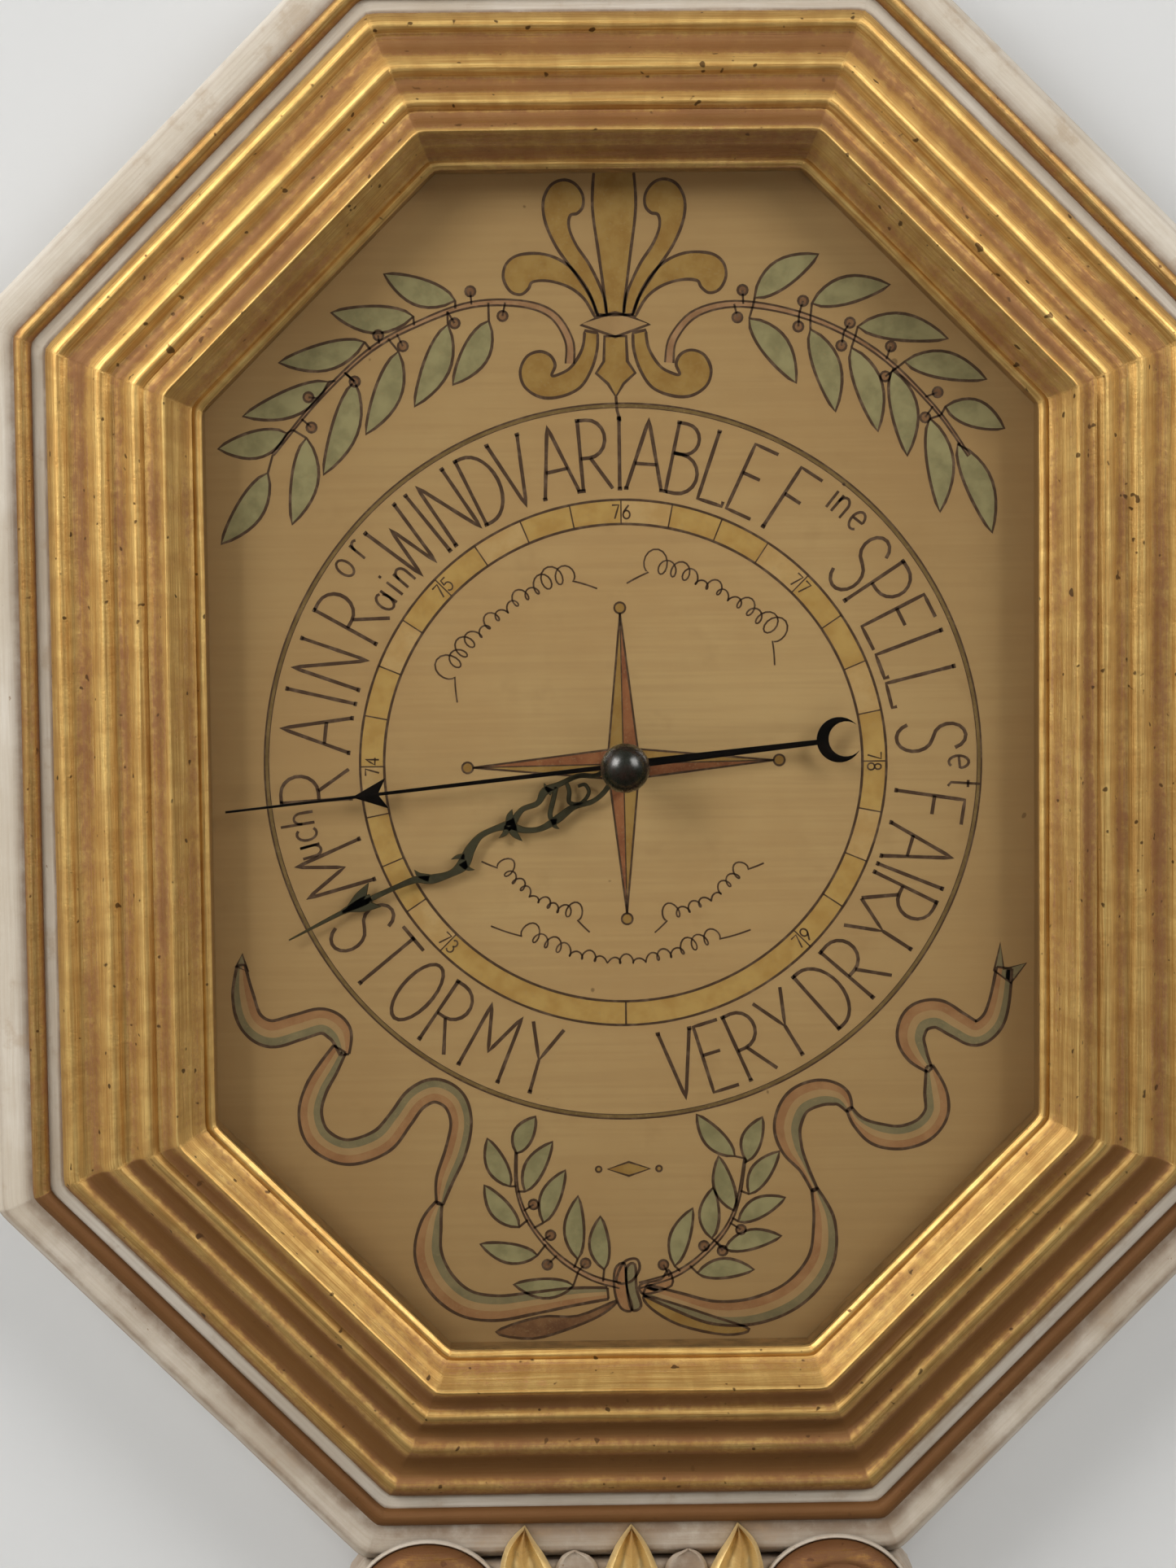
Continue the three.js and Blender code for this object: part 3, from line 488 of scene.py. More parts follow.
def pine(name, tint):
    """Planed softwood with grain up the board."""
    n = Nodes(name)
    place = n.coords()
    warp = n.noise(place, 9, 3, 0.5)
    grain = n.noise(n.mapped(place, (160, 160, 5)), 1.0, 5, 0.6, 0.4)
    pore = n.noise(n.mapped(place, (900, 900, 30)), 1.0, 2, 0.5)
    base = n.mix(n.band(grain, 0.35, 0.68), tint, tuple(int(c * 0.82) for c in tint))
    base = n.mix(n.band(warp, 0.4, 0.7, 0, 0.35), base, tuple(int(c * 0.88) for c in tint))
    base = n.mix(n.band(pore, 0.6, 0.75, 0, 0.3), base, (70, 48, 30))
    height = n.weigh((grain, 0.6), (pore, 0.4))
    return n.surface(Base_Color=base, Roughness=0.72, Normal=n.bump(height, 0.3, 0.0004))


def old_glass(name):
    """Thin clear pane: sees straight through, with a faint grey reflection."""
    n = Nodes(name)
    wave = n.noise(n.coords(), 12, 2, 0.5)
    clear = n.new("ShaderNodeBsdfTransparent", {"Color": (0.965, 0.975, 0.965, 1)})
    gloss = n.new("ShaderNodeBsdfGlossy", {"Color": (1, 1, 1, 1), "Roughness": 0.04,
                                           "Normal": n.bump(wave, 0.05, 0.001)})
    facing = n.new("ShaderNodeFresnel", {"IOR": 1.2})
    mixed = n.new("ShaderNodeMixShader", {0: facing.outputs[0], 1: clear.outputs[0], 2: gloss.outputs[0]})
    n.tree.links.new(mixed.outputs[0], n.out.inputs[0])
    return n.material


GILT = gilding("gilt_leaf")
GILT_WORN = gilding("gilt_leaf_worn", worn=1.6, shade=0.45)
GILT_DARK = gilding("gilt_leaf_dark", worn=2.0, shade=0.78)
# A copy of the gilding lightened with painted light, for the carved leaves.
GILT_PAINTED_LIGHT = gilding("gilt_leaf_painted_light", worn=0.0, painted_light=0.7)
CREAM = cream_paint("cream_paint")
PAPER = dial_paper("dial_paper")
INK = ink("ink_brown", (84, 56, 32))
BRASS = metal("brass", (196, 160, 92), 0.32)
STEEL = metal("steel", (150, 150, 148), 0.34, (70, 60, 52))
HAND_STEEL = metal("hand_steel", (112, 106, 82), 0.5, (44, 40, 30), 0.6)
BLACK_STEEL = metal("black_steel", (34, 30, 27), 0.3, (60, 44, 34), 0.4)
CAPSULE_METAL = metal("nickel_silver", (186, 180, 160), 0.36, (110, 96, 70), 0.4)
KNOB = knob_black("knob_black")
PINE = pine("pine", (186, 150, 106))
SPACER_WOOD = pine("spacer_wood", (176, 138, 88))
GLASS = old_glass("old_glass")

# ------------------------------------------------------------------ case, bead and frame

def ring_piece(name, profile, material, shift, dirt_and_shade, step=4.0, soften=0.35):
    """A moulding round the octagon, from a profile of (offset, y, hollow). shift(v) says how far a
    vertex moves outwards and along y. The function after it, of (offset, facing), adds dirt and painted
    shade to each hollow value, where facing runs from 1 on the top side to -1 on the bottom one."""
    verts, faces, lay = octagon_ring([(o, y) for o, y, _ in profile], step, soften)
    for v in verts:
        outwards, lift = shift(v)
        reach = math.hypot(v[0], v[2])
        v[0] += outwards * v[0] / reach
        v[2] += outwards * v[2] / reach
        v[1] += lift
    piece = add_object(name, verts, faces, material, "case")
    hollows = []
    for k, (_, _, side) in enumerate(lay):
        offset, _, hollow = profile[k % len(profile)]
        hollows.append(hollow + dirt_and_shade(offset, math.cos(math.pi * side / 4)))
    dress(piece, hollows, lay)
    return piece


def gilded_ring(name, profile, material, uneven, grime_and_shade, dust_and_shade=0.0):
    """A gilded moulding, its lines not ruler straight. Its lower sides get painted shade, more towards
    the outer edge, and its top gets dust and painted shade."""
    def shift(v):
        outwards = wobble(v, 90, uneven * 0.8, 5.7)
        lift = wobble(v, 70, uneven, 3.1) + wobble(v, 14, uneven * 0.35, 8.2)
        clear_of_case = v[1] < BODY_FRONT - 0.8
        return outwards, lift if clear_of_case else 0.0

    def dirt_and_shade(offset, facing):
        # Painted shade: lower sides darker towards the outer edge; the top darker with dust and painted
        # shade.
        below = grime_and_shade * max(0.0, -facing) * min(max((offset - 8) / 16, 0.0), 1.0)
        return below + dust_and_shade * max(0.0, facing) ** 3

    return ring_piece(name, profile, material, shift, dirt_and_shade)


# The same steps as the CAD rails, from the sight edge outwards: end point and rise.
FRAME_STEPS = [
    ((2.9, -47.6), 0.9), ((6.4, -53.0), -1.0), ((9.3, -58.0), -0.4), ((11.1, -57.6), 1.0),
    ((16.8, -51.8), -1.6), ((22.6, -49.6), 2.6), ((27.5, -46.0), -1.4), ((34.6, -43.4), 3.0),
    ((41.5, -39.0), -1.6), ((FRAME_EDGE, -36.0), 3.0),
]
SIDES = ("top", "top_right", "right", "bottom_right", "bottom", "bottom_left", "left", "top_left")


def make_frame():
    """The gilt moulding as one gessoed and gilded piece over its eight mitred lengths."""
    foot = BODY_FRONT - 0.3
    rebate = -45.2
    profile = [(0.25, rebate, 0.3), (0.0, rebate - 0.4, 0.2), (0.0, rebate - 2.4, 0.0)]
    for end, rise in FRAME_STEPS:
        bow(profile, end, rise, 9)
    profile += [(FRAME_EDGE, foot, 0.8), (GLASS_EDGE + 0.3, foot, 0.5), (GLASS_EDGE + 0.3, rebate, 0.5)]
    piece = gilded_ring("gilt_frame", profile, GILT, 0.28, grime_and_shade=1.6, dust_and_shade=0.6)
    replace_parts(piece, *[f"frame_rail_{side}" for side in SIDES])


def make_bead():
    """The thin half-round bead outside the flat band."""
    foot = BODY_FRONT - 0.05
    radius = BEAD_WIDTH / 2
    middle = BEAD_OUTER - radius
    profile = []
    for i in range(13):
        turn = math.pi * i / 12
        profile.append((middle - radius * math.cos(turn), foot - radius * math.sin(turn) * 1.05,
                        0.9 - 1.2 * math.sin(turn)))
    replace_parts(gilded_ring("bead", profile, GILT_WORN, 0.22, grime_and_shade=2.6), "gilt_bead")


def make_case():
    """The painted case: rounded arrises, a bevelled edge, and the recess for the hanger."""
    high = node_box("case_body")[1]
    opening = GLASS_EDGE + 9.8
    cover = node_box("back_cover")[1].x - SIGHT_WIDTH + 0.3
    cover_seat = -4.3
    bevel = BODY_EDGE - 3.5
    profile = [(opening, BODY_FRONT, 0.9)]
    for offset, hollow in ((FRAME_EDGE - 4, 1), (FRAME_EDGE + 0.6, 0.9), (FRAME_EDGE + 1.6, 0.1),
                           (BEAD_OUTER - BEAD_WIDTH - 0.8, 0.1), (BEAD_OUTER - BEAD_WIDTH, 0.7),
                           (BEAD_OUTER, 1.0), (BEAD_OUTER + 1.4, 0.6), (BEAD_OUTER + 4, 0.15),
                           (bevel - 2, 0.0)):
        profile.append((offset, BODY_FRONT, hollow))
    profile += [(bevel - 0.6, BODY_FRONT + 0.05, 0.2), (bevel + 0.3, BODY_FRONT + 0.5, 0.4),
                (BODY_EDGE - 1.4, BODY_FRONT + 3.4, 0.0), (BODY_EDGE - 0.3, BODY_FRONT + 5.6, 0.3),
                (BODY_EDGE, BODY_FRONT + 7.5, 0.1), (BODY_EDGE, BODY_FRONT + 16, -0.1),
                (BODY_EDGE, -6.0, 0.1), (BODY_EDGE, -0.9, 0.5), (BODY_EDGE - 0.9, high.y, 0.6),
                (BODY_EDGE - 8, high.y, 0.4), (cover + 0.4, high.y, 0.4), (cover, high.y - 0.4, 0.4),
                (cover, cover_seat, 0.6), (opening, cover_seat, 0.6)]

    def shift(v):
        worn = wobble(v, 60, 0.35, 4.4) + wobble(v, 18, 0.12, 9.1)
        by_the_wall = v[1] > -1
        return 0.0 if by_the_wall else min(0.0, worn), 0.0

    def dirt_and_shade(offset, facing):
        # Painted shade: the lower sides of the case darker from the bead outwards.
        return 0.55 * max(0.0, -facing) if offset > BEAD_OUTER - 1 else 0.0

    piece = ring_piece("painted_case", profile, CREAM, shift, dirt_and_shade, 7.0, 0.5)
    bare_the_back(piece)
    carve_recess(piece, node_box("hanging_plate")[0].z, high)
    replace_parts(piece, "case_body")


RAW_BACK = -5.0       # behind this the case is left as bare pine
RAW_INSIDE = -30.0    # and behind this on the faces that look inwards


def bare_the_back(piece):
    """Leaves the wood unpainted behind and inside the case."""
    piece.data.materials.append(PINE)
    for face in piece.data.polygons:
        behind = all(piece.data.vertices[i].co.y > RAW_BACK * MM for i in face.vertices)
        inwards = face.center.x * face.normal.x + face.center.z * face.normal.z < 0
        if (behind and face.normal.y > 0.3) or (inwards and face.center.y > RAW_INSIDE * MM):
            face.material_index = 1


RECESS_HALF = 17.0
RECESS_DEPTH = 6.0
RECESS_ROOM = 2.0     # below the hanging plate
CUT_PAST = 10.0       # how far the cutter stands out of the case


def carve_recess(piece, plate_foot, high):
    """Cuts the hanger's recess through the top of the back."""
    cutter_mesh = bpy.data.meshes.new("recess_cutter")
    bm = bmesh.new()
    bmesh.ops.create_cube(bm, size=1.0)
    bottom = plate_foot - RECESS_ROOM
    top = high.z + CUT_PAST
    depth = RECESS_DEPTH + CUT_PAST
    size = Vector((2 * RECESS_HALF, depth, top - bottom)) * MM
    middle = Vector((0, high.y - RECESS_DEPTH + depth / 2, (top + bottom) / 2)) * MM
    bmesh.ops.transform(bm, matrix=Matrix.Translation(middle) @ Matrix.Diagonal((*size, 1)), verts=bm.verts)
    bm.to_mesh(cutter_mesh)
    bm.free()
    cutter_mesh.materials.append(PINE)
    cutter = bpy.data.objects.new("recess_cutter", cutter_mesh)
    bpy.context.scene.collection.objects.link(cutter)
    cut = piece.modifiers.new("recess", "BOOLEAN")
    cut.operation = "DIFFERENCE"
    cut.object = cutter
    cut.solver = "EXACT"
    cut.material_mode = "TRANSFER"
    graph = bpy.context.evaluated_depsgraph_get()
    done = bpy.data.meshes.new_from_object(piece.evaluated_get(graph))
    piece.modifiers.clear()
    piece.data = done
    bpy.data.objects.remove(cutter)


make_frame()
make_bead()
make_case()

# ------------------------------------------------------------------ flat artwork on the dial

PAINT = 0.035      # thickness of a wash
PAINT_LEVEL = 0.003
PEN = 0.07         # thickness of an ink line
PEN_WEIGHT = 1.28  # how broad the nib writes


class Art:
    """Collects closed flat slabs that lie on the dial, in (x, z) millimetres."""

    def __init__(self, thickness):
        self.verts = []
        self.faces = []
        self.foot = DIAL_FACE - 0.004
        self.front = self.foot - thickness

    def slab(self, outline):
        """A filled shape with its edges closed down to the dial."""
        start = len(self.verts)
        n = len(outline)
        self.verts += [(x, self.front, z) for x, z in outline]
        self.verts += [(x, self.foot, z) for x, z in outline]
        for a, b, c in tessellate_polygon([[Vector((x, z, 0)) for x, z in outline]]):
            self.faces.append((start + a, start + b, start + c))
            self.faces.append((start + n + a, start + n + c, start + n + b))
        self.faces += tube_faces(ring_rows(2, n, start))

    def stroke(self, points, width, closed=False):
        """A pen stroke along points, pressed a little unevenly."""
        halves = []
        for x, z in points:
            pressure = 1 + 0.16 * noise.noise(Vector((x, z, 0)) / 5)
            halves.append(width / 2 * PEN_WEIGHT * pressure)
        start = len(self.verts)
        for (lx, lz), (rx, rz) in zip(*beside(points, halves, closed)):
            self.verts += [(lx, self.front, lz), (rx, self.front, rz),
                           (rx, self.foot, rz), (lx, self.foot, lz)]
        rows = ring_rows(len(points), 4, start)
        self.faces += tube_faces(rows + rows[:1] if closed else rows)
        if not closed:
            self.faces += [rows[0][::-1], rows[-1]]

    def piece(self, name, material):
        """Makes the mesh of everything gathered so far."""
        add_object(name, self.verts, self.faces, material, "case", smooth=False)


SWEEP_STEP = 3.0


def sweep(radius, start, end):
    """Points of an arc about the dial's centre between two bearings."""
    count = max(2, int(abs(math.radians(end - start)) * radius / SWEEP_STEP))
    return [polar(start + (end - start) * i / count, radius) for i in range(count + 1)]


# Radii on the dial, and the height of its capitals.
DIAL_CIRCLE = 110.5
SCALE_OUTER = 81.2
SCALE_INNER = 73.8
LETTER_FOOT = 84.6
LETTER_HEIGHT = 21.5


def make_circles(pen, olive):
    """The double line round the words and the two lines of the scale."""
    for radius, width in ((DIAL_CIRCLE + 0.1, 0.42), (DIAL_CIRCLE - 1.2, 0.2), (SCALE_OUTER, 0.6),
                          (SCALE_INNER, 0.62)):
        pen.stroke(sweep(radius, 0, 360)[:-1], width, closed=True)
    olive.stroke(sweep(DIAL_CIRCLE - 0.5, 0, 360)[:-1], 0.9, closed=True)


SCALE_SPAN = 135       # the scale runs this far to each side of the top
SCALE_STEP = 11.25


def scale_block(fill, start, end):
    """One coloured stretch of the scale ring."""
    fill.slab(sweep(SCALE_OUTER - 0.3, start, end) + sweep(SCALE_INNER + 0.3, end, start))


def make_scale(pen, scale, tan):
    """Coloured blocks between fine ticks over 270 degrees, and one tick at the bottom."""
    def tick(bearing, width):
        pen.stroke([polar(bearing, SCALE_INNER), polar(bearing, SCALE_OUTER)], width)

    for i in range(int(2 * SCALE_SPAN / SCALE_STEP)):
        start = SCALE_STEP * i - SCALE_SPAN
        scale_block(scale if i % 3 else tan, start, start + SCALE_STEP)
        tick(start, 0.34)
    tick(SCALE_SPAN, 0.34)
    scale_block(scale, SCALE_SPAN, 180)
    scale_block(scale, 180, 360 - SCALE_SPAN)
    tick(180, 0.45)


# ------------------------------------------------------------------ lettering

def arc(x, y, across, high, start, end, count=9):
    """Points of an elliptic arc, its angles in degrees anticlockwise from the right."""
    turns = [math.radians(start + (end - start) * i / count) for i in range(count + 1)]
    return [(x + across * math.cos(a), y + high * math.sin(a)) for a in turns]


# Thin one-stroke letters in a cell one unit high. Each is its width and its pen strokes.
STEM = [(0, 0), (0, 1)]
P_BOWL = [(0, 1)] + arc(0.12, 0.73, 0.25, 0.27, 90, -90) + [(0, 0.46)]
GLYPHS = {
    "A": (0.50, [[(0, 0), (0.25, 1), (0.50, 0)], [(0.09, 0.36), (0.41, 0.36)]]),
    "B": (0.40, [STEM, [(0, 1)] + arc(0.12, 0.78, 0.21, 0.22, 90, -90) + [(0, 0.56)],
                 [(0, 0.56)] + arc(0.13, 0.28, 0.27, 0.28, 90, -90) + [(0, 0)]]),
    "D": (0.43, [STEM, [(0, 1)] + arc(0.08, 0.5, 0.35, 0.5, 90, -90, 14) + [(0, 0)]]),
    "E": (0.38, [[(0.36, 1), (0, 1), (0, 0), (0.38, 0)], [(0, 0.56), (0.27, 0.56)]]),
    "F": (0.36, [[(0.36, 1), (0, 1), (0, 0)], [(0, 0.56), (0.27, 0.56)]]),
    "I": (0.0, [STEM]),
    "L": (0.36, [[(0, 1), (0, 0), (0.36, 0), (0.36, 0.07)]]),
    "M": (0.62, [[(0, 0), (0.07, 1), (0.31, 0.34), (0.55, 1), (0.62, 0)]]),
    "N": (0.44, [[(0, 0), (0, 1), (0.44, 0), (0.44, 1)]]),
    "O": (0.46, [arc(0.23, 0.5, 0.23, 0.5, 90, 450, 22)]),
    "P": (0.37, [STEM, P_BOWL]),
    "R": (0.42, [STEM, P_BOWL, [(0.14, 0.46), (0.42, 0)]]),
    "S": (0.38, [arc(0.20, 0.77, 0.18, 0.23, 15, 240) + arc(0.18, 0.26, 0.20, 0.26, 75, -160, 11)]),
    "T": (0.46, [[(0, 1), (0.46, 1)], [(0.23, 1), (0.23, 0)]]),
    "V": (0.46, [[(0, 1), (0.23, 0), (0.46, 1)]]),
    "W": (0.58, [[(0, 1), (0.15, 0), (0.29, 0.8), (0.43, 0), (0.58, 1)]]),
    "Y": (0.46, [[(0, 1), (0.23, 0.48), (0.46, 1)], [(0.23, 0.48), (0.23, 0)]]),
    "a": (0.62, [arc(0.31, 0.5, 0.31, 0.5, 60, 400, 14), [(0.62, 1), (0.62, 0)]]),
    "c": (0.55, [arc(0.33, 0.5, 0.33, 0.5, 50, 310, 12)]),
    "e": (0.62, [[(0.02, 0.5), (0.6, 0.56)] + arc(0.31, 0.5, 0.31, 0.5, 15, 310, 13)]),
    "h": (0.55, [[(0, 0), (0, 1.7)], [(0, 0.6)] + arc(0.27, 0.62, 0.27, 0.38, 160, 0) + [(0.54, 0)]]),
    "i": (0.0, [STEM, [(0, 1.35), (0, 1.5)]]),
    "n": (0.55, [STEM, [(0, 0.6)] + arc(0.27, 0.62, 0.27, 0.38, 160, 0) + [(0.54, 0)]]),
    "o": (0.62, [arc(0.31, 0.5, 0.31, 0.5, 90, 450, 16)]),
    "r": (0.36, [STEM, [(0, 0.6)] + arc(0.24, 0.66, 0.24, 0.34, 170, 50, 6)]),
    "t": (0.40, [[(0.16, 1.6), (0.16, 0.15), (0.36, 0)], [(0, 1), (0.36, 1)]]),
    "u": (0.55, [[(0, 1)] + arc(0.27, 0.38, 0.27, 0.38, 180, 360) + [(0.54, 1)], [(0.54, 1), (0.54, 0)]]),
    "0": (0.50, [arc(0.25, 0.5, 0.25, 0.5, 90, 450, 16)]),
    "3": (0.50, [arc(0.24, 0.76, 0.22, 0.24, 150, -80) + arc(0.24, 0.27, 0.26, 0.27, 80, -150)]),
    "4": (0.52, [[(0.38, 0), (0.38, 1), (0, 0.3), (0.52, 0.3)]]),
    "5": (0.50, [[(0.46, 1), (0.06, 1), (0.03, 0.58)] + arc(0.22, 0.32, 0.27, 0.32, 110, -150, 11)]),
    "6": (0.50, [[(0.40, 1), (0.12, 0.62)] + arc(0.25, 0.30, 0.25, 0.30, 150, 510, 14)]),
    "7": (0.50, [[(0, 1), (0.50, 1), (0.18, 0)]]),
    "8": (0.50, [arc(0.25, 0.76, 0.20, 0.24, 90, 450, 14), arc(0.25, 0.26, 0.25, 0.26, 90, 450, 14)]),
    "9": (0.50, [arc(0.25, 0.70, 0.25, 0.30, 330, -30, 14) + [(0.12, 0)]]),
}
SERIF = 0.032
SERIFS_FROM = 10      # smaller letters have none


def serifs(stroke):
    """Short ticks across the straight ends of a capital's strokes."""
    ticks = []
    for end, other in ((stroke[0], stroke[1]), (stroke[-1], stroke[-2])):
        upright = abs(end[0] - other[0]) < 0.3 * abs(end[1] - other[1])
        if upright and end[1] in (0, 1):
            ticks.append([(end[0] - SERIF, end[1]), (end[0] + SERIF, end[1])])
    return ticks


def letter(pen, glyph, bearing, foot, high, width, inward):
    """Draws one letter at a bearing, standing on the circle of radius foot."""
    across, strokes = GLYPHS[glyph]
    out = Vector(polar(bearing, 1.0))
    along = Vector((out.y, -out.x))
    if inward:
        out, along = -out, -along
    origin = Vector(polar(bearing, foot))
    drawn = list(strokes)
    if high > SERIFS_FROM:
        for stroke in strokes:
            if len(stroke) < 6:
                drawn += serifs(stroke)
    for stroke in drawn:
        points = []
        for x, y in stroke:
            place = origin + along * (x - across / 2) * high + out * y * high
            points.append((place.x, place.y))
        pen.stroke(thicken_points(points), width)


PRESSURE_GAP = 2.5


def thicken_points(points):
    """Extra points on long straight runs, so that the pen's pressure can vary."""
    result = [points[0]]
    for a, b in zip(points, points[1:]):
        extra = int(math.dist(a, b) / PRESSURE_GAP)
        for i in range(1, extra + 1):
            t = i / (extra + 1)
            result.append((a[0] + (b[0] - a[0]) * t, a[1] + (b[1] - a[1]) * t))
        result.append(b)
    return result


def word(pen, text, start, end, foot=LETTER_FOOT, high=LETTER_HEIGHT, width=0.86, inward=False):
    """Spreads a word evenly between the bearings of its first and last letters."""
    weights = [0.0]
    for a, b in zip(text, text[1:]):
        weights.append(weights[-1] + (GLYPHS[a][0] + GLYPHS[b][0]) / 2 + 0.16)
    for glyph, weight in zip(text, weights):
        share = weight / weights[-1] if weights[-1] else 0.0
        letter(pen, glyph, start + (end - start) * share, foot, high, width, inward)


def make_words(pen):
    """The weather words round the dial, in plain English, and the small scale numbers."""
    small = 6.2
    thin = 0.66
    word(pen, "M", 250.3, 250.3)
    word(pen, "uch", 255.0, 261.0, 97.0, small, thin)
    word(pen, "RAIN", 266.5, 289.5)
    word(pen, "R", 299.6, 299.6)
    word(pen, "or", 305.8, 309.8, 101.5, small, thin)
    word(pen, "ain", 304.9, 311.2, LETTER_FOOT + 1.0, small, thin)
    word(pen, "WIND", 315.8, 334.0)
    word(pen, "VARIABLE", 340.0, 385.2)
    word(pen, "F", 33.6, 33.6)
    word(pen, "ine", 38.8, 44.4, 100.5, small, thin)
    word(pen, "SPELL", 50.3, 76.2)
    word(pen, "S", 85.6, 85.6)
    word(pen, "et", 90.3, 94.0, 100.5, small, thin)
    word(pen, "FAIR", 98.8, 117.0)
    top = LETTER_FOOT + LETTER_HEIGHT
    word(pen, "STORMY", 238.5, 196.5, foot=top, inward=True)
    word(pen, "VERY", 170.0, 149.0, foot=top, inward=True)
    word(pen, "DRY", 139.0, 123.5, foot=top, inward=True)
    figure = 4.2
    ring_foot = (SCALE_INNER + SCALE_OUTER) / 2 - figure / 2
    for i, number in enumerate(("73", "74", "75", "76", "77", "78", "79")):
        bearing = -135 + 45 * i
        upright = abs(bearing) < 100
        foot = ring_foot if upright else ring_foot + figure
        spread = 1.25 if upright else -1.25
        word(pen, number, bearing - spread, bearing + spread, foot, figure, 0.42, inward=not upright)


# ------------------------------------------------------------------ painted ornament

def outline_shape(fill, pen, outline, width):
    """A wash with a pen line round it."""
    fill.slab(outline)
    pen.stroke(outline, width, closed=True)


def ring_points(x, z, radius, count=14):
    """Points evenly round a circle."""
    turns = [2 * math.pi * k / count for k in range(count)]
    return [(x + radius * math.cos(a), z + radius * math.sin(a)) for a in turns]


def make_star(pen, gold, red):
    """The four-pointed star: long rays, each half gold and half red, with small end rings."""
    reach = 46.5
    waist = 4.5
    for k in range(4):
        bearing = 90 * k - 0.8
        tip = polar(bearing, reach)
        left = polar(bearing - 45, waist * math.sqrt(2))
        right = polar(bearing + 45, waist * math.sqrt(2))
        gold.slab([(0, 0), left, tip])
        red.slab([(0, 0), tip, right])
        for a in (left, right):
            pen.stroke(thicken_points([a, tip]), 0.5)
        pen.stroke(thicken_points([(0, 0), tip]), 0.32)
        outline_shape(gold, pen, ring_points(*polar(bearing, reach + 1.6), 1.7), 0.5)


FLEUR_AXIS = -1.2
FLEUR_LINE = 0.72


def make_fleur(pen, gold, pale):
    """The stylised lily above the dial, in gold with brown outlines."""
    def place(outline, fill, side=1):
        outline_shape(fill, pen, [(FLEUR_AXIS + side * x, z) for x, z in outline], FLEUR_LINE)

    upper = [(-2.6, 137.4), (-3.7, 144), (-7.6, 152.6), (-11.6, 158.6), (-13.8, 164), (-13.4, 167.6),
             (-11.2, 168.3), (-9.5, 170.4), (-9.6, 174), (-12, 177.3), (-15.6, 178.4), (-19.4, 176.6),
             (-21.6, 171.8), (-20.9, 165.4), (-17.6, 158), (-11.9, 149.9), (-7.4, 142.8), (-5.6, 137.6)]
    lower = [(-6.2, 136.9), (-9.4, 142.4), (-14, 146), (-20, 147.9), (-25, 147.7), (-26.4, 145.6),
             (-28.8, 143.9), (-32, 145), (-34, 149), (-33, 153.3), (-29, 155.9), (-21.3, 156),
             (-14.2, 152.6), (-8.6, 145.6), (-5.2, 137.4)]
    scroll = [(-9.3, 132.8), (-10.2, 127.2), (-13.6, 121.8), (-17.4, 119.6), (-19.6, 119.3), (-18.5, 122.4),
              (-20, 125.4), (-23.4, 126.6), (-27.2, 125), (-29.2, 120.6), (-27.8, 115.8), (-23, 112.7),
              (-17, 112.8), (-11, 115.5), (-7.4, 121), (-5.6, 127), (-5.4, 132)]
    for half in (lower, upper, scroll):
        for side in (1, -1):
            place(smooth(half, 5), gold, side)
    petal = [(-2.4, 137.5), (-4.7, 155), (-6.6, 170), (-6.0, 181.5)]
    place(smooth(petal, 5) + mirror(smooth(petal, 5))[::-1], gold)
    drop = [(-3.3, 131), (-3.6, 123.4), (-6.0, 119.8), (-2.4, 116.6), (0, 112.6)]
    place(drop + mirror(drop)[-2::-1], gold)
    knot = [(-10.6, 134.6), (-4, 137.2), (0, 138.2), (4, 137.2), (10.6, 134.6), (0, 130.8)]
    place(knot, pale)
    pen.stroke([(FLEUR_AXIS, 112.6), (FLEUR_AXIS + 0.3, 108.5), (0, LETTER_FOOT + LETTER_HEIGHT - 1)], 0.7)


def leaf_shape(base, tip, half):
    """A pointed oval from base to tip, fullest before the middle."""
    a, b = Vector(base), Vector(tip)
    along = b - a
    side = Vector((-along.y, along.x)).normalized()
    left = []
    right = []
    for i in range(11):
        t = i / 10
        wide = half * math.sin(math.pi * t ** 0.88) ** 0.8
        bend = 0.06 * along.length * math.sin(math.pi * t)
        middle = a + along * t + side * bend
        left.append(tuple(middle + side * wide))
        right.append(tuple(middle - side * wide))
    return left + right[-2:0:-1]


BERRY_RADIUS = 1.5
BERRY_REACH = 4.2      # how far a berry hangs from its stem


def branch(inks, spine, leaves, berries, half, stem=1.3):
    """A laurel branch: tapering stem, outlined leaves, and dark berries on short stalks."""
    curve = smooth(spine, 6)
    left, right = beside(curve, [stem * (1 - 0.75 * i / len(curve)) for i in range(len(curve))])
    inks["stem"].slab(left + right[::-1])
    inks["pen"].stroke(left, 0.5)
    inks["pen"].stroke(right, 0.5)
    for base, tip in leaves:
        foot = min(curve, key=lambda point: math.dist(point, base))
        if math.dist(foot, base) > 0.8:
            inks["pen"].stroke([foot, base], 0.55)
        outline_shape(inks["green"], inks["pen"], leaf_shape(base, tip, half), 0.7)
    for berry in berries:
        foot = min(curve, key=lambda point: math.dist(point, berry))
        reach = math.dist(foot, berry)
        if reach > BERRY_REACH:
            berry = tuple(f + (b - f) * BERRY_REACH / reach for b, f in zip(berry, foot))
        inks["pen"].stroke([foot, berry], 0.5)
        outline_shape(inks["berry"], inks["pen"], ring_points(*berry, BERRY_RADIUS, 12), 0.6)


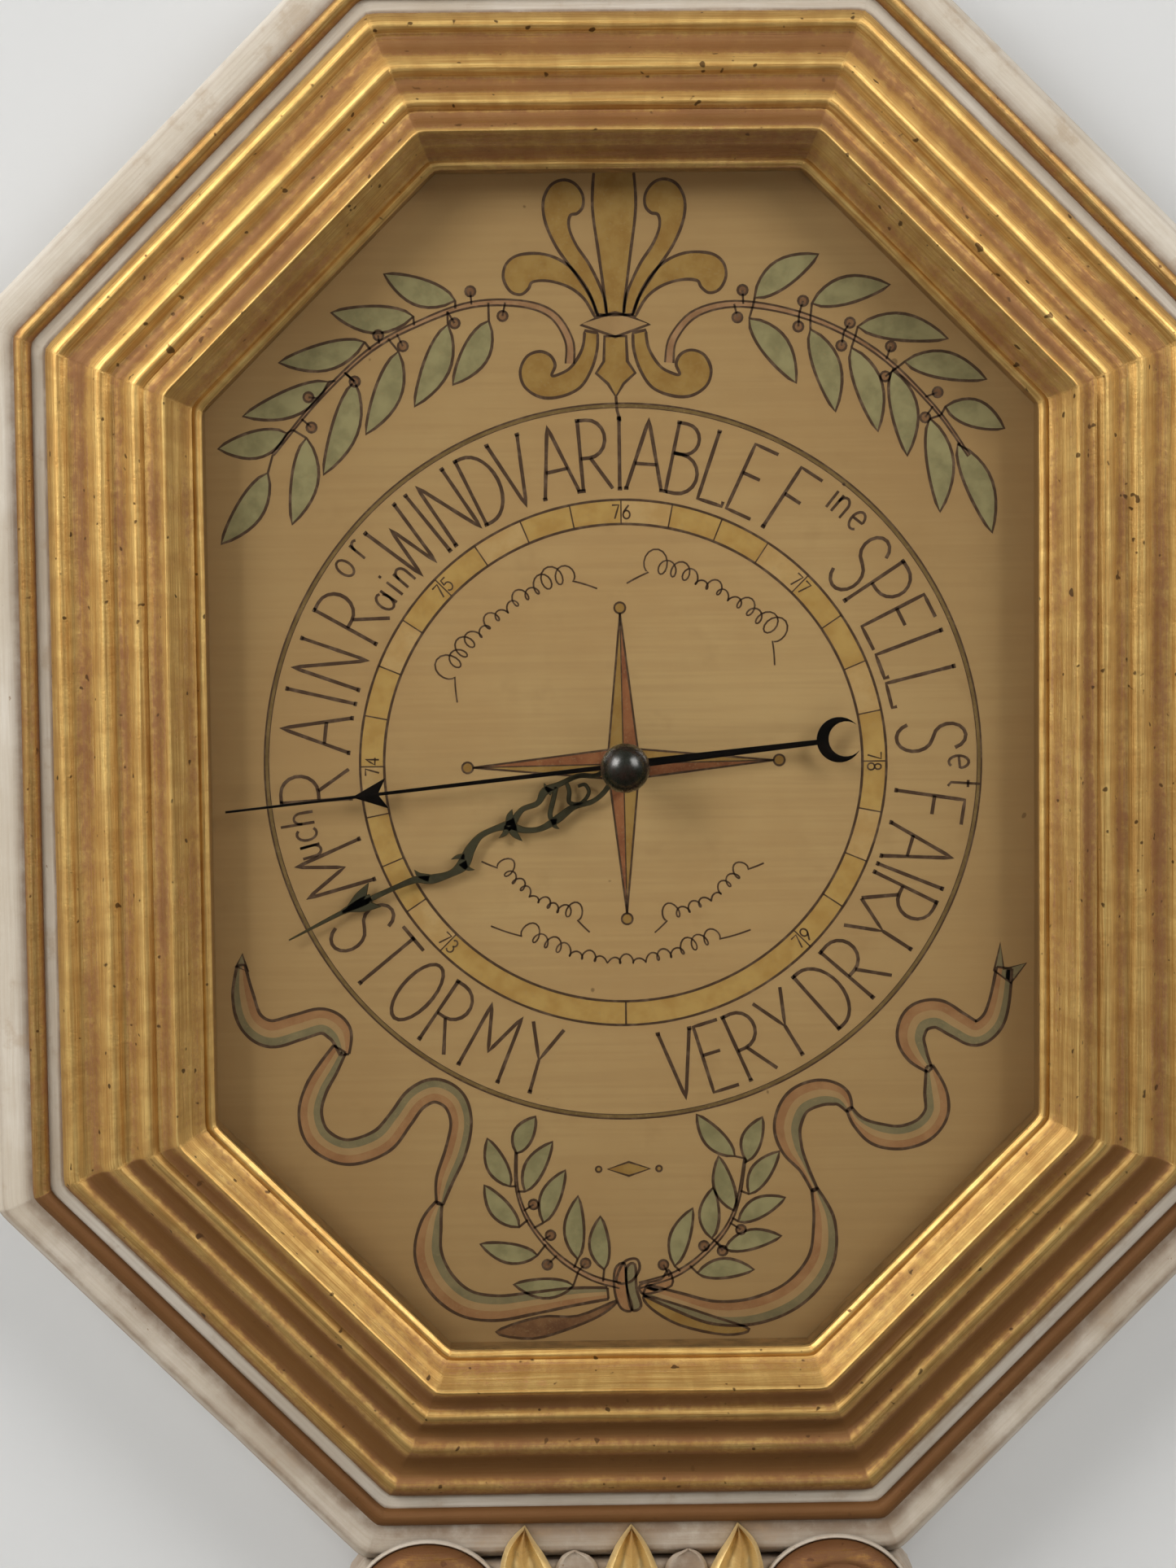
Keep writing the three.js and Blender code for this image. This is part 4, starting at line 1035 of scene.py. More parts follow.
def make_laurels(inks):
    """The pair of branches beside the lily."""
    left_stem = [(-15.2, 122.8), (-15.4, 130), (-20.5, 137.8), (-30.2, 141.2), (-45, 141), (-60, 136),
                 (-76, 127.6), (-92, 113), (-106.4, 96)]
    left = [((-50, 142.3), (-71.5, 150.5)), ((-62.8, 137.6), (-87.8, 139)), ((-77.8, 130), (-104, 124)),
            ((-89, 118), (-115.3, 107.8)), ((-102, 102.5), (-123, 98)), ((-108, 90.5), (-122.6, 69)),
            ((-39.8, 136), (-51, 116.8)), ((-52.3, 135), (-62.8, 110.3)), ((-67.5, 127), (-77.8, 102)),
            ((-81, 118), (-91, 89.8)), ((-96, 101), (-100.8, 74.8))]
    left_berries = [(-45.3, 145), (-36, 135.4), (-49.6, 134.3), (-65.4, 127), (-73.6, 132), (-79.4, 116.6),
                    (-94.4, 104.2), (-95.2, 113.4)]
    right_stem = [(15.2, 122.8), (16.6, 130.4), (24, 138), (38, 140.4), (58.5, 136), (78.5, 125.6),
                  (96, 108.8), (107, 93.5)]
    right = [((41.5, 142.3), (61, 155.2)), ((59, 140.4), (82.8, 145.8)), ((73, 133.2), (100.5, 129.3)),
             ((87.3, 122.4), (112.3, 116.8)), ((99.8, 108.6), (117.8, 101.8)), ((103.5, 97), (114, 70)),
             ((39.8, 136), (54, 116.3)), ((58.5, 132.5), (66, 107.5)), ((71, 126.8), (79, 101.3)),
             ((83.5, 119.8), (88, 93.8)), ((95, 105), (98, 76.5))]
    right_berries = [(37.8, 144.6), (36.4, 135.4), (54.8, 133.4), (56.4, 141.6), (70.6, 134.4),
                     (67.6, 125.6), (83.4, 128), (80, 117), (97.4, 113), (92.6, 104)]
    branch(inks, left_stem, left, left_berries, 4.1)
    branch(inks, right_stem, right, right_berries, 4.1)


def make_sprigs(inks):
    """The two sprigs tied below the dial."""
    left = [((-34.5, -121), (-28.5, -109.6)), ((-36.6, -131.4), (-43.5, -116.3)),
            ((-32, -133.1), (-23.3, -117.6)), ((-26.4, -143), (-19.4, -126.6)),
            ((-34, -144.3), (-44.6, -131)), ((-15.8, -154.6), (-15.5, -134.8)),
            ((-7.6, -158), (-8.6, -141.3)), ((-28.4, -153.3), (-46.1, -149.5)),
            ((-17.3, -163), (-35.8, -162.4))]
    right = [((33.4, -122.8), (21.7, -109.6)), ((37.2, -124.5), (42.1, -110.7)),
             ((33.2, -140), (28.4, -122.8)), ((37.8, -134.8), (47.3, -121.5)),
             ((26, -148.6), (26.6, -132.7)), ((34.4, -143.4), (49, -136.1)),
             ((30.1, -152), (47.7, -148.2)), ((14.4, -157.2), (20.2, -139.1)),
             ((21.5, -159.6), (39.1, -158.7))]
    left_stem = [(-2.6, -163.2), (-11.2, -160.7), (-19.8, -155.5), (-26.7, -148.6), (-31.9, -140.6),
                 (-34.6, -131.4), (-34.6, -120.6)]
    right_stem = [(3.4, -163.2), (14.6, -159.8), (23.2, -153.8), (30.8, -145.2), (34.6, -135.7),
                  (36.6, -123.6)]
    branch(inks, left_stem, left,
           [(-29.4, -137.2), (-24.2, -147), (-25.6, -156.6), (-13.4, -156)], 3.1, 0.9)
    branch(inks, right_stem, right,
           [(23.6, -151), (29.4, -152.6), (35.2, -146), (10.8, -156.6)], 3.1, 0.9)


def ribbon(pen, blue, pale, red, spine, flip):
    """One face of a ribbon: three stripes between outlines. Spine points are (x, z, half width)."""
    curve = smooth([(x, z) for x, z, _ in spine], 7)
    widths = smooth_widths([half for _, _, half in spine], 7)
    face = -1 if flip else 1
    edges = []
    for share in (-1, -0.3, 0.25, 1):
        edges.append(beside(curve, [half * share * face for half in widths])[0])
    for fill, low, high in ((blue, 0, 1), (pale, 1, 2), (red, 2, 3)):
        fill.slab(edges[low] + edges[high][::-1])
    pen.stroke(edges[0], 0.75)
    pen.stroke(edges[3], 0.75)
    for end in (0, -1):
        pen.stroke([edges[0][end], edges[3][end]], 0.6)


def make_ribbons(pen, blue, pale, red):
    """The tricoloured ribbon that ties the sprigs and twists up both sides of the dial."""
    parts = [
        ([(-119, -61, 1.2), (-118.6, -70.5, 3.2), (-116.2, -78.8, 3.7), (-110.2, -82.6, 4.1),
          (-101.7, -80.6, 4), (-94, -78.8, 3.8), (-88.9, -82.4, 3.6), (-87.4, -89.4, 1.4)], False),
        ([(-88.9, -87.6, 2.2), (-92.6, -93.6, 3.0), (-96.4, -100, 3.3), (-98.4, -107.3, 3.5),
          (-96.6, -114.6, 3.8), (-91, -119, 3.8), (-84.6, -119.8, 3.9), (-76, -116.4, 3.9),
          (-70.4, -109.8, 3.6), (-65.6, -103.6, 3.6), (-59.6, -101, 3.6), (-53.8, -104, 3.5),
          (-51.6, -111, 3.2), (-53.4, -120, 3.2), (-57, -129.2, 2.6), (-58.6, -136.8, 1.0)], True),
        ([(-58.8, -136.2, 1.0), (-61.4, -143, 3.2), (-62.4, -152.6, 4.2), (-58.6, -161.6, 4.4),
          (-51.2, -168, 4.2), (-41.4, -169.8, 3.9), (-30, -168.4, 3.4), (-18, -166.6, 2.8),
          (-6.5, -165.6, 1.8)], True),
        ([(117.6, -64.8, 2.4), (116.0, -75.4, 3.1), (113.6, -81.9, 3.5), (108.7, -85.2, 3.8),
          (103, -82.4, 4), (96.7, -78.9, 4.3), (90.6, -80.4, 4.5), (88.4, -86, 4.2),
          (90.4, -91.6, 3.2), (94.4, -96.6, 0.9)], True),
        ([(94.2, -95.2, 1.0), (96, -102.9, 3.3), (96.4, -109.8, 3.6), (92.4, -115.2, 3.7),
          (85.2, -117.6, 3.6), (77.7, -116.4, 3.4), (72, -112.6, 1.8), (69.1, -108.2, 0.9)], False),
        ([(69.3, -108.9, 0.9), (66.3, -104.4, 2.9), (59.9, -103.2, 4), (53, -106.2, 4.2),
          (49.9, -113.3, 4.1), (51.2, -120.4, 3.2), (55, -127, 1.4), (58.4, -134, 0.9)], True),
        ([(58.2, -133.4, 0.9), (61.2, -144, 3.3), (60, -156.2, 4), (52, -166.2, 4.2), (40, -171.6, 4.1),
          (27, -172.2, 3.6), (15, -168.4, 2.8), (5, -164.6, 1.8)], True),
    ]
    for spine, flip in parts:
        ribbon(pen, blue, pale, red, spine, flip)
    for tips in ([(-120.6, -61.6), (-118.6, -57.6), (-116.8, -63)],
                 [(114.4, -65.6), (116.4, -57), (117.4, -65.2), (124.4, -63.4), (119.6, -69.6)]):
        outline_shape(blue, pen, tips, 0.6)


def make_knot(pen, gold, blue, pale, red, brown):
    """The knot of the ribbon with the two tapering stem ends under it."""
    for fill, outline, width in (
            (brown, [(-4, -168), (-16, -172.6), (-28, -172.8), (-41.6, -177.4), (-30, -179.6), (-17, -176),
                     (-8, -172)], 0.66),
            (gold, [(5, -166.6), (15, -169.4), (27, -173.6), (37.6, -177.6), (30, -179.2), (16, -176),
                    (7, -170.6)], 0.66),
            (pale, [(-3.8, -162), (-1.6, -156), (2.4, -154.8), (3.4, -158), (0.6, -162)], 0.66),
            (red, [(-4.2, -158), (-1.2, -156.4), (-0.6, -164), (1, -170.8), (-2.4, -170.4),
                   (-4.4, -165)], 0.66),
            (blue, [(-0.6, -157.6), (2, -156.6), (2.4, -164), (3.8, -169.8), (0.8, -170.8),
                    (-0.6, -164)], 0.66),
            (red, [(3.6, -163), (10, -161.4), (12.4, -158.4), (13.4, -163.4), (5, -166)], 0.6)):
        outline_shape(fill, pen, smooth(outline, 4, True), width)
    lozenge = [(-6.6, 0), (0, 2.2), (6.6, 0), (0, -2.2)]
    centre = (0.4, -126.4)
    outline_shape(gold, pen, [(centre[0] + x, centre[1] + z) for x, z in lozenge], 0.55)
    for side in (-1, 1):
        dot = ring_points(centre[0] + side * 9.4, centre[1], 0.9, 10)
        outline_shape(gold, pen, dot, 0.5)


def flourish(pen, radius, start, end, loops, size, inward=False):
    """A run of penned loops along an arc, larger at its ends, with a trailing tail."""
    points = []
    steps = loops * 14
    up = -1 if inward else 1
    for i in range(steps + 1):
        t = i / steps
        turn = 2 * math.pi * loops * t
        swell = 0.45 + 0.55 * abs(math.cos(math.pi * t)) ** 3 + 0.18 * math.sin(turn * 0.37 + 1)
        high = size * swell
        bearing = start + (end - start) * t
        lean = math.degrees(0.34 * high * math.sin(turn) / radius) * (1 if end > start else -1)
        points.append(polar(bearing - lean, radius + up * (high / 2) * (1 - math.cos(turn))))
    tail = [polar(end + (end - start) * 0.05 * k, radius - up * size * 0.2 * k) for k in range(1, 4)]
    head = [polar(start - (end - start) * 0.05 * k, radius - up * size * 0.2 * k) for k in (3, 2, 1)]
    pen.stroke(smooth(head, 4) + points + smooth(tail, 4), 0.42)


def make_flourishes(pen):
    """The penned loops round the middle of the dial."""
    flourish(pen, 58.5, 298, 345, 13, 6.5)
    flourish(pen, 59.5, 8, 51, 12, 6.5)
    flourish(pen, 50.5, 231, 197, 9, 4.6, inward=True)
    flourish(pen, 50.5, 165, 131, 8, 4.6, inward=True)
    flourish(pen, 62.0, 211, 152, 16, 4.8, inward=True)


# Each colour's level, which is how far it lies over the others, and its light and dark pigment.
WASHES = {
    "gold": (0, (180, 142, 76), (164, 122, 56)),
    "tan": (1, (214, 176, 118), (204, 162, 100)),
    "scale": (0, (208, 168, 96), (194, 150, 78)),
    "stem": (5, (188, 144, 104), (160, 116, 78)),
    "berry": (8, (150, 108, 70), (120, 80, 50)),
    "olive": (7, (142, 114, 66), (120, 94, 50)),
    "pale": (2, (190, 152, 104), (180, 142, 94)),
    "green": (4, (172, 160, 114), (146, 136, 94)),
    "blue": (3, (148, 132, 94), (130, 118, 84)),
    "red": (6, (170, 108, 66), (140, 80, 46)),
    "rose": (9, (182, 134, 88), (166, 116, 74)),
}


def make_dial_art():
    """Everything printed and painted on the dial, one piece for each colour."""
    pen = Art(PEN)
    inks = {name: Art(PAINT + PAINT_LEVEL * level) for name, (level, _, _) in WASHES.items()}
    inks["pen"] = pen
    make_circles(pen, inks["olive"])
    make_scale(pen, inks["scale"], inks["tan"])
    make_words(pen)
    make_star(pen, inks["gold"], inks["red"])
    make_fleur(pen, inks["gold"], inks["pale"])
    make_laurels(inks)
    make_sprigs(inks)
    make_ribbons(pen, inks["blue"], inks["pale"], inks["rose"])
    make_knot(pen, inks["gold"], inks["blue"], inks["pale"], inks["rose"], inks["berry"])
    make_flourishes(pen)
    pen.piece("dial_pen_lines", INK)
    for name, (_, light, dark) in WASHES.items():
        kind = "line" if name == "olive" else "wash"
        inks[name].piece(f"dial_{name}_{kind}", wash(f"{name}_wash", light, dark))


make_dial_art()


# ------------------------------------------------------------------ hands and knob

def dial_point(bearing, right, along):
    """Turns a place in a hand's own frame into (x, z). Along runs out to its tip."""
    out = Vector(polar(bearing, 1.0))
    side = Vector((out.y, -out.x))
    place = out * along + side * right
    return place.x, place.y


FILED_EDGE = 0.22


class Strap:
    """Flat bars with filed edges that follow smooth paths, gathered in one mesh."""

    def __init__(self, bearing, front, back):
        self.bearing = bearing
        self.front = front
        self.back = back
        self.verts = []
        self.faces = []

    def add(self, path, halves, per_span):
        """A bar through (right, along) points, with a half width at each."""
        line = smooth(path, per_span)
        outer = [max(half, 0.06) for half in smooth_widths(halves, per_span)]
        inner = [max(half - FILED_EDGE, half * 0.45) for half in outer]
        middle = (self.front + self.back) / 2
        start = len(self.verts)
        for a, b, c, d in zip(*beside(line, outer), *beside(line, inner)):
            for (right, along), y in ((a, middle), (c, self.front), (d, self.front),
                                      (b, middle), (d, self.back), (c, self.back)):
                x, z = dial_point(self.bearing, right, along)
                self.verts.append((x, y, z))
        rows = ring_rows(len(line), 6, start)
        self.faces += tube_faces(rows) + [rows[0], rows[-1][::-1]]


POINTER_BEARING = 242.9
# The bars of the indicating hand: points (right, along) and a half width at each.
POINTER_BARS = [
    ([(1.5, 4.2), (0.9, 9.0), (3.4, 14.0), (3.8, 20.4), (4.0, 25.3), (1.8, 29.0), (2.2, 34.4),
      (-0.6, 39.4)], [0.9, 0.8, 0.8, 0.9, 1.3, 0.9, 0.9, 1.3]),
    ([(-1.6, 4.2), (-4.6, 9.0), (-5.6, 14.0), (-4.4, 19.6), (-5.4, 26.0), (-5.6, 32.0), (-3.6, 36.6),
      (-0.6, 39.4)], [0.9, 0.8, 0.8, 1.0, 1.3, 0.9, 1.0, 1.3]),
    ([(3.6, 21.6), (0.4, 24.3), (-3.0, 27.2), (-5.4, 27.6)], [0.7, 0.8, 0.8, 0.7]),
    ([(3.4, 18.2), (0.6, 18.6), (-2.6, 20.2), (-4.4, 17.2), (-2.8, 13.6), (0.0, 13.4), (0.6, 15.6)],
     [0.6, 0.7, 0.7, 0.6, 0.6, 0.6, 0.5]),
    ([(-0.6, 38.0), (0.8, 43.7), (1.0, 49.4), (-1.3, 54.2), (-4.3, 58.2), (-5.0, 62.9), (-3.8, 68.8),
      (-1.6, 73.4), (-0.8, 81.0), (-0.4, 88.5), (0, 100.0), (0, 116.6)],
     [2.0, 1.0, 1.0, 1.6, 1.9, 1.1, 1.5, 1.1, 0.8, 0.9, 0.7, 0.25]),
]
# Its small leaves, and the two barbs and the spine of its arrowhead.
POINTER_LEAVES = [
    ([(2.6, 23.4), (4.6, 24.4), (6.4, 24.4)], [1.2, 0.8, 0.1]),
    ([(-4.8, 26.8), (-6.8, 27.6), (-8.4, 26.8)], [1.2, 0.8, 0.1]),
    ([(-0.4, 39.6), (2.2, 38.4), (3.8, 36.8)], [1.8, 1.1, 0.1]),
    ([(-0.6, 39.4), (-3.6, 39.6), (-6.4, 38.6)], [1.8, 1.1, 0.1]),
    ([(-0.4, 40.4), (-1.8, 42.4), (-2.2, 44.6)], [1.5, 0.8, 0.1]),
    ([(-3.6, 58.0), (-5.8, 57.6), (-7.4, 55.8)], [1.6, 0.9, 0.1]),
    ([(-2.4, 56.6), (-1.4, 58.6), (-1.2, 60.6)], [1.2, 0.7, 0.1]),
    ([(-3.2, 69.4), (-1.0, 71.6), (1.2, 72.2)], [1.3, 0.9, 0.1]),
    ([(-0.1, 96.0), (1.6, 91.0), (4.2, 86.6)], [0.9, 1.7, 0.15]),
    ([(-0.1, 96.0), (-1.6, 91.0), (-4.0, 86.6)], [0.9, 1.7, 0.15]),
    ([(0, 98.0), (0, 91.0), (-0.2, 88.0)], [0.8, 1.6, 1.2]),
]


def make_pointer():
    """The indicating hand: two curling strands by the hub, a leafy winding stem and an arrow."""
    low, high = node_box("indicating_hand")
    hand = Strap(POINTER_BEARING, low.y, high.y)
    hub = ring_points(0, 0, 4.0, 16)
    hand.add(hub + hub[:1], [1.0] * (len(hub) + 1), 3)
    for path, halves in POINTER_BARS:
        hand.add(path, halves, 7)
    for path, halves in POINTER_LEAVES:
        hand.add(path, halves, 5)
    piece = add_object("indicating_hand_finished", hand.verts, hand.faces, HAND_STEEL, "pointer",
                       smooth=False)
    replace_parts(piece, "indicating_hand")


def make_knob():
    """The polished ball that turns the set hand."""
    low, high = node_box("set_knob")
    middle = (low + high) / 2
    radius = (high.x - low.x) / 2
    ball = low.y + radius
    profile = [(0, low.y)]
    steps = 26
    for i in range(1, steps):
        turn = math.pi * 0.86 * i / steps
        profile.append((radius * math.sin(turn), ball - radius * math.cos(turn)))
    neck = profile[-1][0]
    base = high.y
    profile += [(neck + 0.1, profile[-1][1] + 0.25), (neck + 0.9, base - 0.9), (neck + 1.2, base - 0.55),
                (neck + 1.1, base - 0.15), (neck + 0.8, base), (0, base)]
    verts, faces = revolve(profile, 64, "Y", (middle.x, 0, middle.z))
    piece = add_object("knob_polished", verts, faces, KNOB, "set_hand_group")
    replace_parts(piece, "set_knob")


# ------------------------------------------------------------------ carving

CARVING_BACK = BODY_FRONT - 0.3
BOARD_TOP = node_box("pendant_board")[1].z


def relief(name, rows, thickness, material, cols=21):
    """A carved piece with a flat back. rows are (left, right) edge points from one end to the other,
    and thickness(t, s) gives how far the front stands out and how hollow it is there."""
    verts = []
    hollows = []
    lay = []
    for r, (left, right) in enumerate(rows):
        t = r / (len(rows) - 1)
        for c in range(cols):
            s = 2 * c / (cols - 1) - 1
            x = left[0] + (right[0] - left[0]) * (s + 1) / 2
            z = left[1] + (right[1] - left[1]) * (s + 1) / 2
            out, hollow = thickness(t, s)
            out += wobble((x, 0, z), 9, 0.16, 2.2)
            verts.append((x, CARVING_BACK - max(out, 0.4), z))
            hollows.append(hollow)
            lay.append((x * 1.3, z, 0))
        for x, z in (right, left):
            verts.append((x, CARVING_BACK, z))
            hollows.append(1.0)
            lay.append((x, z, 0))
    rings = ring_rows(len(rows), cols + 2)
    faces = tube_faces(rings) + [rings[0], rings[-1][::-1]]
    piece = add_object(name, verts, faces, material, "case")
    dress(piece, hollows, lay)
    return piece


SPINE_STEPS = 8


def spine_rows(spine, halves):
    """Edge points either side of a smooth spine."""
    widths = [max(half, 0.12) for half in smooth_widths(halves, SPINE_STEPS)]
    return list(zip(*beside(smooth(spine, SPINE_STEPS), widths)))


def leaf_relief(t, s):
    """A lance leaf: sharp midrib, hollow flutes, turned-up rims and shallow side veins."""
    away = abs(s)
    body = 3.9 * math.sin(math.pi * min(1.0, 0.3 + 0.72 * t)) ** 0.5
    rib = 2.6 * math.exp(-(away / 0.13) ** 2)
    rim = 1.2 * math.exp(-((away - 0.82) / 0.16) ** 2)
    flute = -1.3 * math.exp(-((away - 0.42) / 0.2) ** 2)
    vein = 0.22 * math.cos(2 * math.pi * (t * 11 + away * 1.4)) * (1 - away) * min(1, 3 * away)
    drop = -1.6 * max(0.0, away - 0.88) / 0.12
    hollow = 0.5 * math.exp(-((away - 0.42) / 0.22) ** 2) - 0.9 * math.exp(-(away / 0.14) ** 2)
    hollow += 1.2 * max(0.0, away - 0.9) / 0.1
    return body + rib + rim + flute + vein + drop, hollow


def make_leaves():
    """Three gilt lance leaves in front of the pendant, with cream petals between them."""
    tip = node_box("leaf_middle")[1].z
    base = node_box("leaf_middle")[0].z
    spine = [(0, tip - down) for down in (0, 8, 22, 39, 56, 68)] + [(0, base)]
    rows = spine_rows(spine, [0.15, 5.6, 10.5, 12.0, 9.4, 6.0, 2.5])
    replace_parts(relief("leaf_middle_carved", rows, leaf_relief, GILT_PAINTED_LIGHT), "leaf_middle")
    side_tip = node_box("leaf_right")[1].z
    for name, side in (("right", 1), ("left", -1)):
        spine = [(33.4, side_tip), (34.2, side_tip - 8), (32.6, side_tip - 19), (28.6, side_tip - 32),
                 (22.6, side_tip - 47), (15.8, side_tip - 62), (10.4, base + 5)]
        rows = spine_rows([(side * x, z) for x, z in spine], [0.15, 5.8, 9.2, 9.2, 6.6, 3.4, 1.4])
        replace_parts(relief(f"leaf_{name}_carved", rows, leaf_relief, GILT_PAINTED_LIGHT), f"leaf_{name}")
        petal = [(17.8, BOARD_TOP + 4.2), (17.8, BOARD_TOP + 2), (17.2, BOARD_TOP - 3),
                 (15.6, BOARD_TOP - 14), (13.6, BOARD_TOP - 26)]
        rows = spine_rows([(side * x, z) for x, z in petal], [0.4, 4.6, 6.8, 5.4, 2.0])
        relief(f"petal_{name}", rows, petal_relief, CREAM, 15)


def petal_relief(_, s):
    """A low rounded petal with a sunk middle."""
    away = abs(s)
    lip = 0.7 * math.exp(-((away - 0.75) / 0.2) ** 2) - 0.8 * max(0.0, away - 0.9) / 0.1
    # The second value darkens the petal, most along its middle: dirt, and painted shade between the leaves.
    return 1.2 + lip, 1.2 - 0.6 * away


BOSS_RADIUS = 22.2
BOSS_STRETCH = 1.07     # how much wider than tall the bosses are
BOSS_INSET = 22.5       # from the outer edge of the volute to the middle of its boss
BOSS_DROP = 23.0        # and from its top
BOSS_SIDES = 72
RIM_HALF = 0.55
RIM_GAP = 0.2


def make_volutes():
    """Domed bosses with a coiled groove and a raised cream rim, and a scroll running to the calyx."""
    for name, side in (("right", 1), ("left", -1)):
        low, high = node_box(f"volute_{name}")
        x = (high.x - BOSS_INSET) if side > 0 else (low.x + BOSS_INSET)
        z = high.z - BOSS_DROP
        boss(f"volute_{name}_carved", x, z, high.y - low.y - 1.0, side)
        scroll = [(73, -281), (62, -285.4), (51, -287.4), (38, -292), (26, -306), (17, -320)]
        rows = spine_rows([(side * px, pz) for px, pz in scroll], [3.4, 4.6, 4.8, 4.5, 4.0, 2.4])
        piece = relief(f"scroll_{name}", rows, scroll_relief, GILT, cols=17)
        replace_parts(piece, f"volute_{name}")
        boss_rim(f"volute_rim_{name}", x, z)


def boss_rim(name, x, z):
    """The thin cream rim round a boss."""
    inner = BOSS_RADIUS + RIM_GAP
    profile = []
    for k in range(11):
        a = math.pi * k / 10
        profile.append((inner + RIM_HALF * (1 + math.cos(a)),
                        CARVING_BACK - 0.9 - 1.2 * max(0.0, math.sin(a))))
    profile += [(inner, CARVING_BACK), (inner + 2 * RIM_HALF, CARVING_BACK)]
    verts, faces = revolve(profile, BOSS_SIDES, "Y", (0, 0, 0))
    verts = [(x + v[0] * BOSS_STRETCH, v[1], z + v[2]) for v in verts]
    piece = add_object(name, verts, faces, CREAM, "case")
    dress(piece, [0.35] * len(verts), flat_lay(piece))


def scroll_relief(_, s):
    """A rounded strap with a groove along each side."""
    away = abs(s)
    dome = 5.6 * math.sqrt(max(0.0, 1 - 0.8 * s * s))
    groove = -1.2 * math.exp(-((away - 0.55) / 0.13) ** 2)
    return dome + groove, 0.9 * math.exp(-((away - 0.55) / 0.2) ** 2) - 0.3


BOSS_RINGS = 30
COIL_PITCH = 7.0


def boss(name, x, z, height, side):
    """A dome with a shallow spiral carved in it."""
    turns = [2 * math.pi * k / BOSS_SIDES for k in range(BOSS_SIDES)]
    verts = [(x, CARVING_BACK - height, z)]
    hollows = [-0.2]
    for r in range(1, BOSS_RINGS + 1):
        away = r / BOSS_RINGS
        for a in turns:
            turn = (away * BOSS_RADIUS / COIL_PITCH + side * a / (2 * math.pi)) % 1.0
            groove = math.exp(-((turn - 0.5) / 0.13) ** 2) * min(1.0, 3.2 * away) * (1 if away < 0.8 else 0)
            out = 1.0 + (height - 1.0) * math.sqrt(max(0.0, 1 - away ** 2.2)) - 0.8 * groove
            px = x + away * BOSS_RADIUS * BOSS_STRETCH * math.cos(a)
            pz = z + away * BOSS_RADIUS * math.sin(a)
            verts.append((px, CARVING_BACK - out + wobble((px, 0, pz), 8, 0.2, 6.1), pz))
            hollows.append(0.25 + 0.9 * groove + (0.5 if away > 0.93 else 0))
    for a in turns:
        verts.append((x + BOSS_RADIUS * BOSS_STRETCH * math.cos(a), CARVING_BACK,
                      z + BOSS_RADIUS * math.sin(a)))
        hollows.append(1.0)
    rows = ring_rows(BOSS_RINGS + 1, BOSS_SIDES, 1)
    faces = [(0, 1 + k, 1 + (k + 1) % BOSS_SIDES) for k in range(BOSS_SIDES)]
    faces += tube_faces(rows) + [rows[-1]]
    piece = add_object(name, verts, faces, GILT_DARK, "case")
    dress(piece, hollows, flat_lay(piece))


def make_calyx():
    """The reeded band that gathers the leaves."""
    path = smooth([(-13, -322), (-7, -325.4), (0, -326.6), (7, -325.4), (13, -322)], 12)
    verts = []
    hollows = []
    around = 16
    for i, (x, z) in enumerate(path):
        t = i / (len(path) - 1)
        reed = abs(math.sin(math.pi * t * 9))
        radius = (2.4 + 1.9 * math.sin(math.pi * t)) * (0.86 + 0.14 * reed)
        for k in range(around):
            a = 2 * math.pi * k / around
            y = CARVING_BACK + min(0, radius * 1.15 * math.cos(a) - 3.6)
            verts.append((x, y, z + radius * math.sin(a)))
            hollows.append(0.8 - reed)
    rows = ring_rows(len(path), around)
    faces = tube_faces(rows) + [rows[0], rows[-1][::-1]]
    piece = add_object("calyx_carved", verts, faces, GILT, "case")
    dress(piece, hollows, flat_lay(piece))
    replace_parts(piece, "pendant_calyx")


def make_drop():
    """The turned finial under the pendant."""
    low, high = node_box("pendant_drop")
    depth = (low.y + high.y) / 2
    shape = [(0, 0), (8.2, 0), (9.0, 0.5), (9.0, 1.8), (8.4, 2.4), (6.4, 3.0), (5.2, 4.0), (5.4, 5.2),
             (7.0, 6.6), (8.4, 8.6), (9.0, 11.0), (8.9, 13.2), (8.0, 15.4), (6.2, 17.6), (4.4, 19.2),
             (2.4, 20.5), (0.9, 20.95), (0, 21)]
    verts, faces = revolve([(radius, -down) for radius, down in shape], 48, "Z", (0, depth, high.z))
    piece = add_object("drop_turned", verts, faces, GILT_WORN, "case")
    neck = [0.9 if 2.2 < high.z - v[2] < 6.0 else -0.1 for v in verts]
    dress(piece, neck, [(math.atan2(v[0], v[1] - depth) * 9, v[2] * 1.5, 0) for v in verts])
    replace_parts(piece, "pendant_drop")


# ------------------------------------------------------------------ finishes on the CAD shapes

def soften(node, width, material, slot, body="case", uneven=0.0, segments=2, dirt_and_shade=0.15):
    """A copy of a CAD node with rounded arrises, standing in for it."""
    bm = bmesh.new()
    bm.from_mesh(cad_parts[node].data)
    bmesh.ops.remove_doubles(bm, verts=bm.verts, dist=1e-6)
    bmesh.ops.dissolve_limit(bm, angle_limit=math.radians(1), verts=bm.verts, edges=bm.edges)
    sharp = [e for e in bm.edges if len(e.link_faces) == 2 and e.calc_face_angle(0) > math.radians(32)]
    bmesh.ops.bevel(bm, geom=sharp, offset=width * MM, segments=segments, profile=0.6,
                    affect="EDGES", clamp_overlap=True)
    mesh = bpy.data.meshes.new(f"{node}_finished")
    if uneven:
        for vert in bm.verts:
            push = wobble(vert.co / MM, 25, uneven, 1.9)
            vert.co += vert.normal * push * MM
    bm.to_mesh(mesh)
    bm.free()
    piece = add_mesh(mesh, material, body, True, 50)
    dress(piece, [dirt_and_shade] * len(mesh.vertices), flat_lay(piece))
    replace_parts(piece, node)


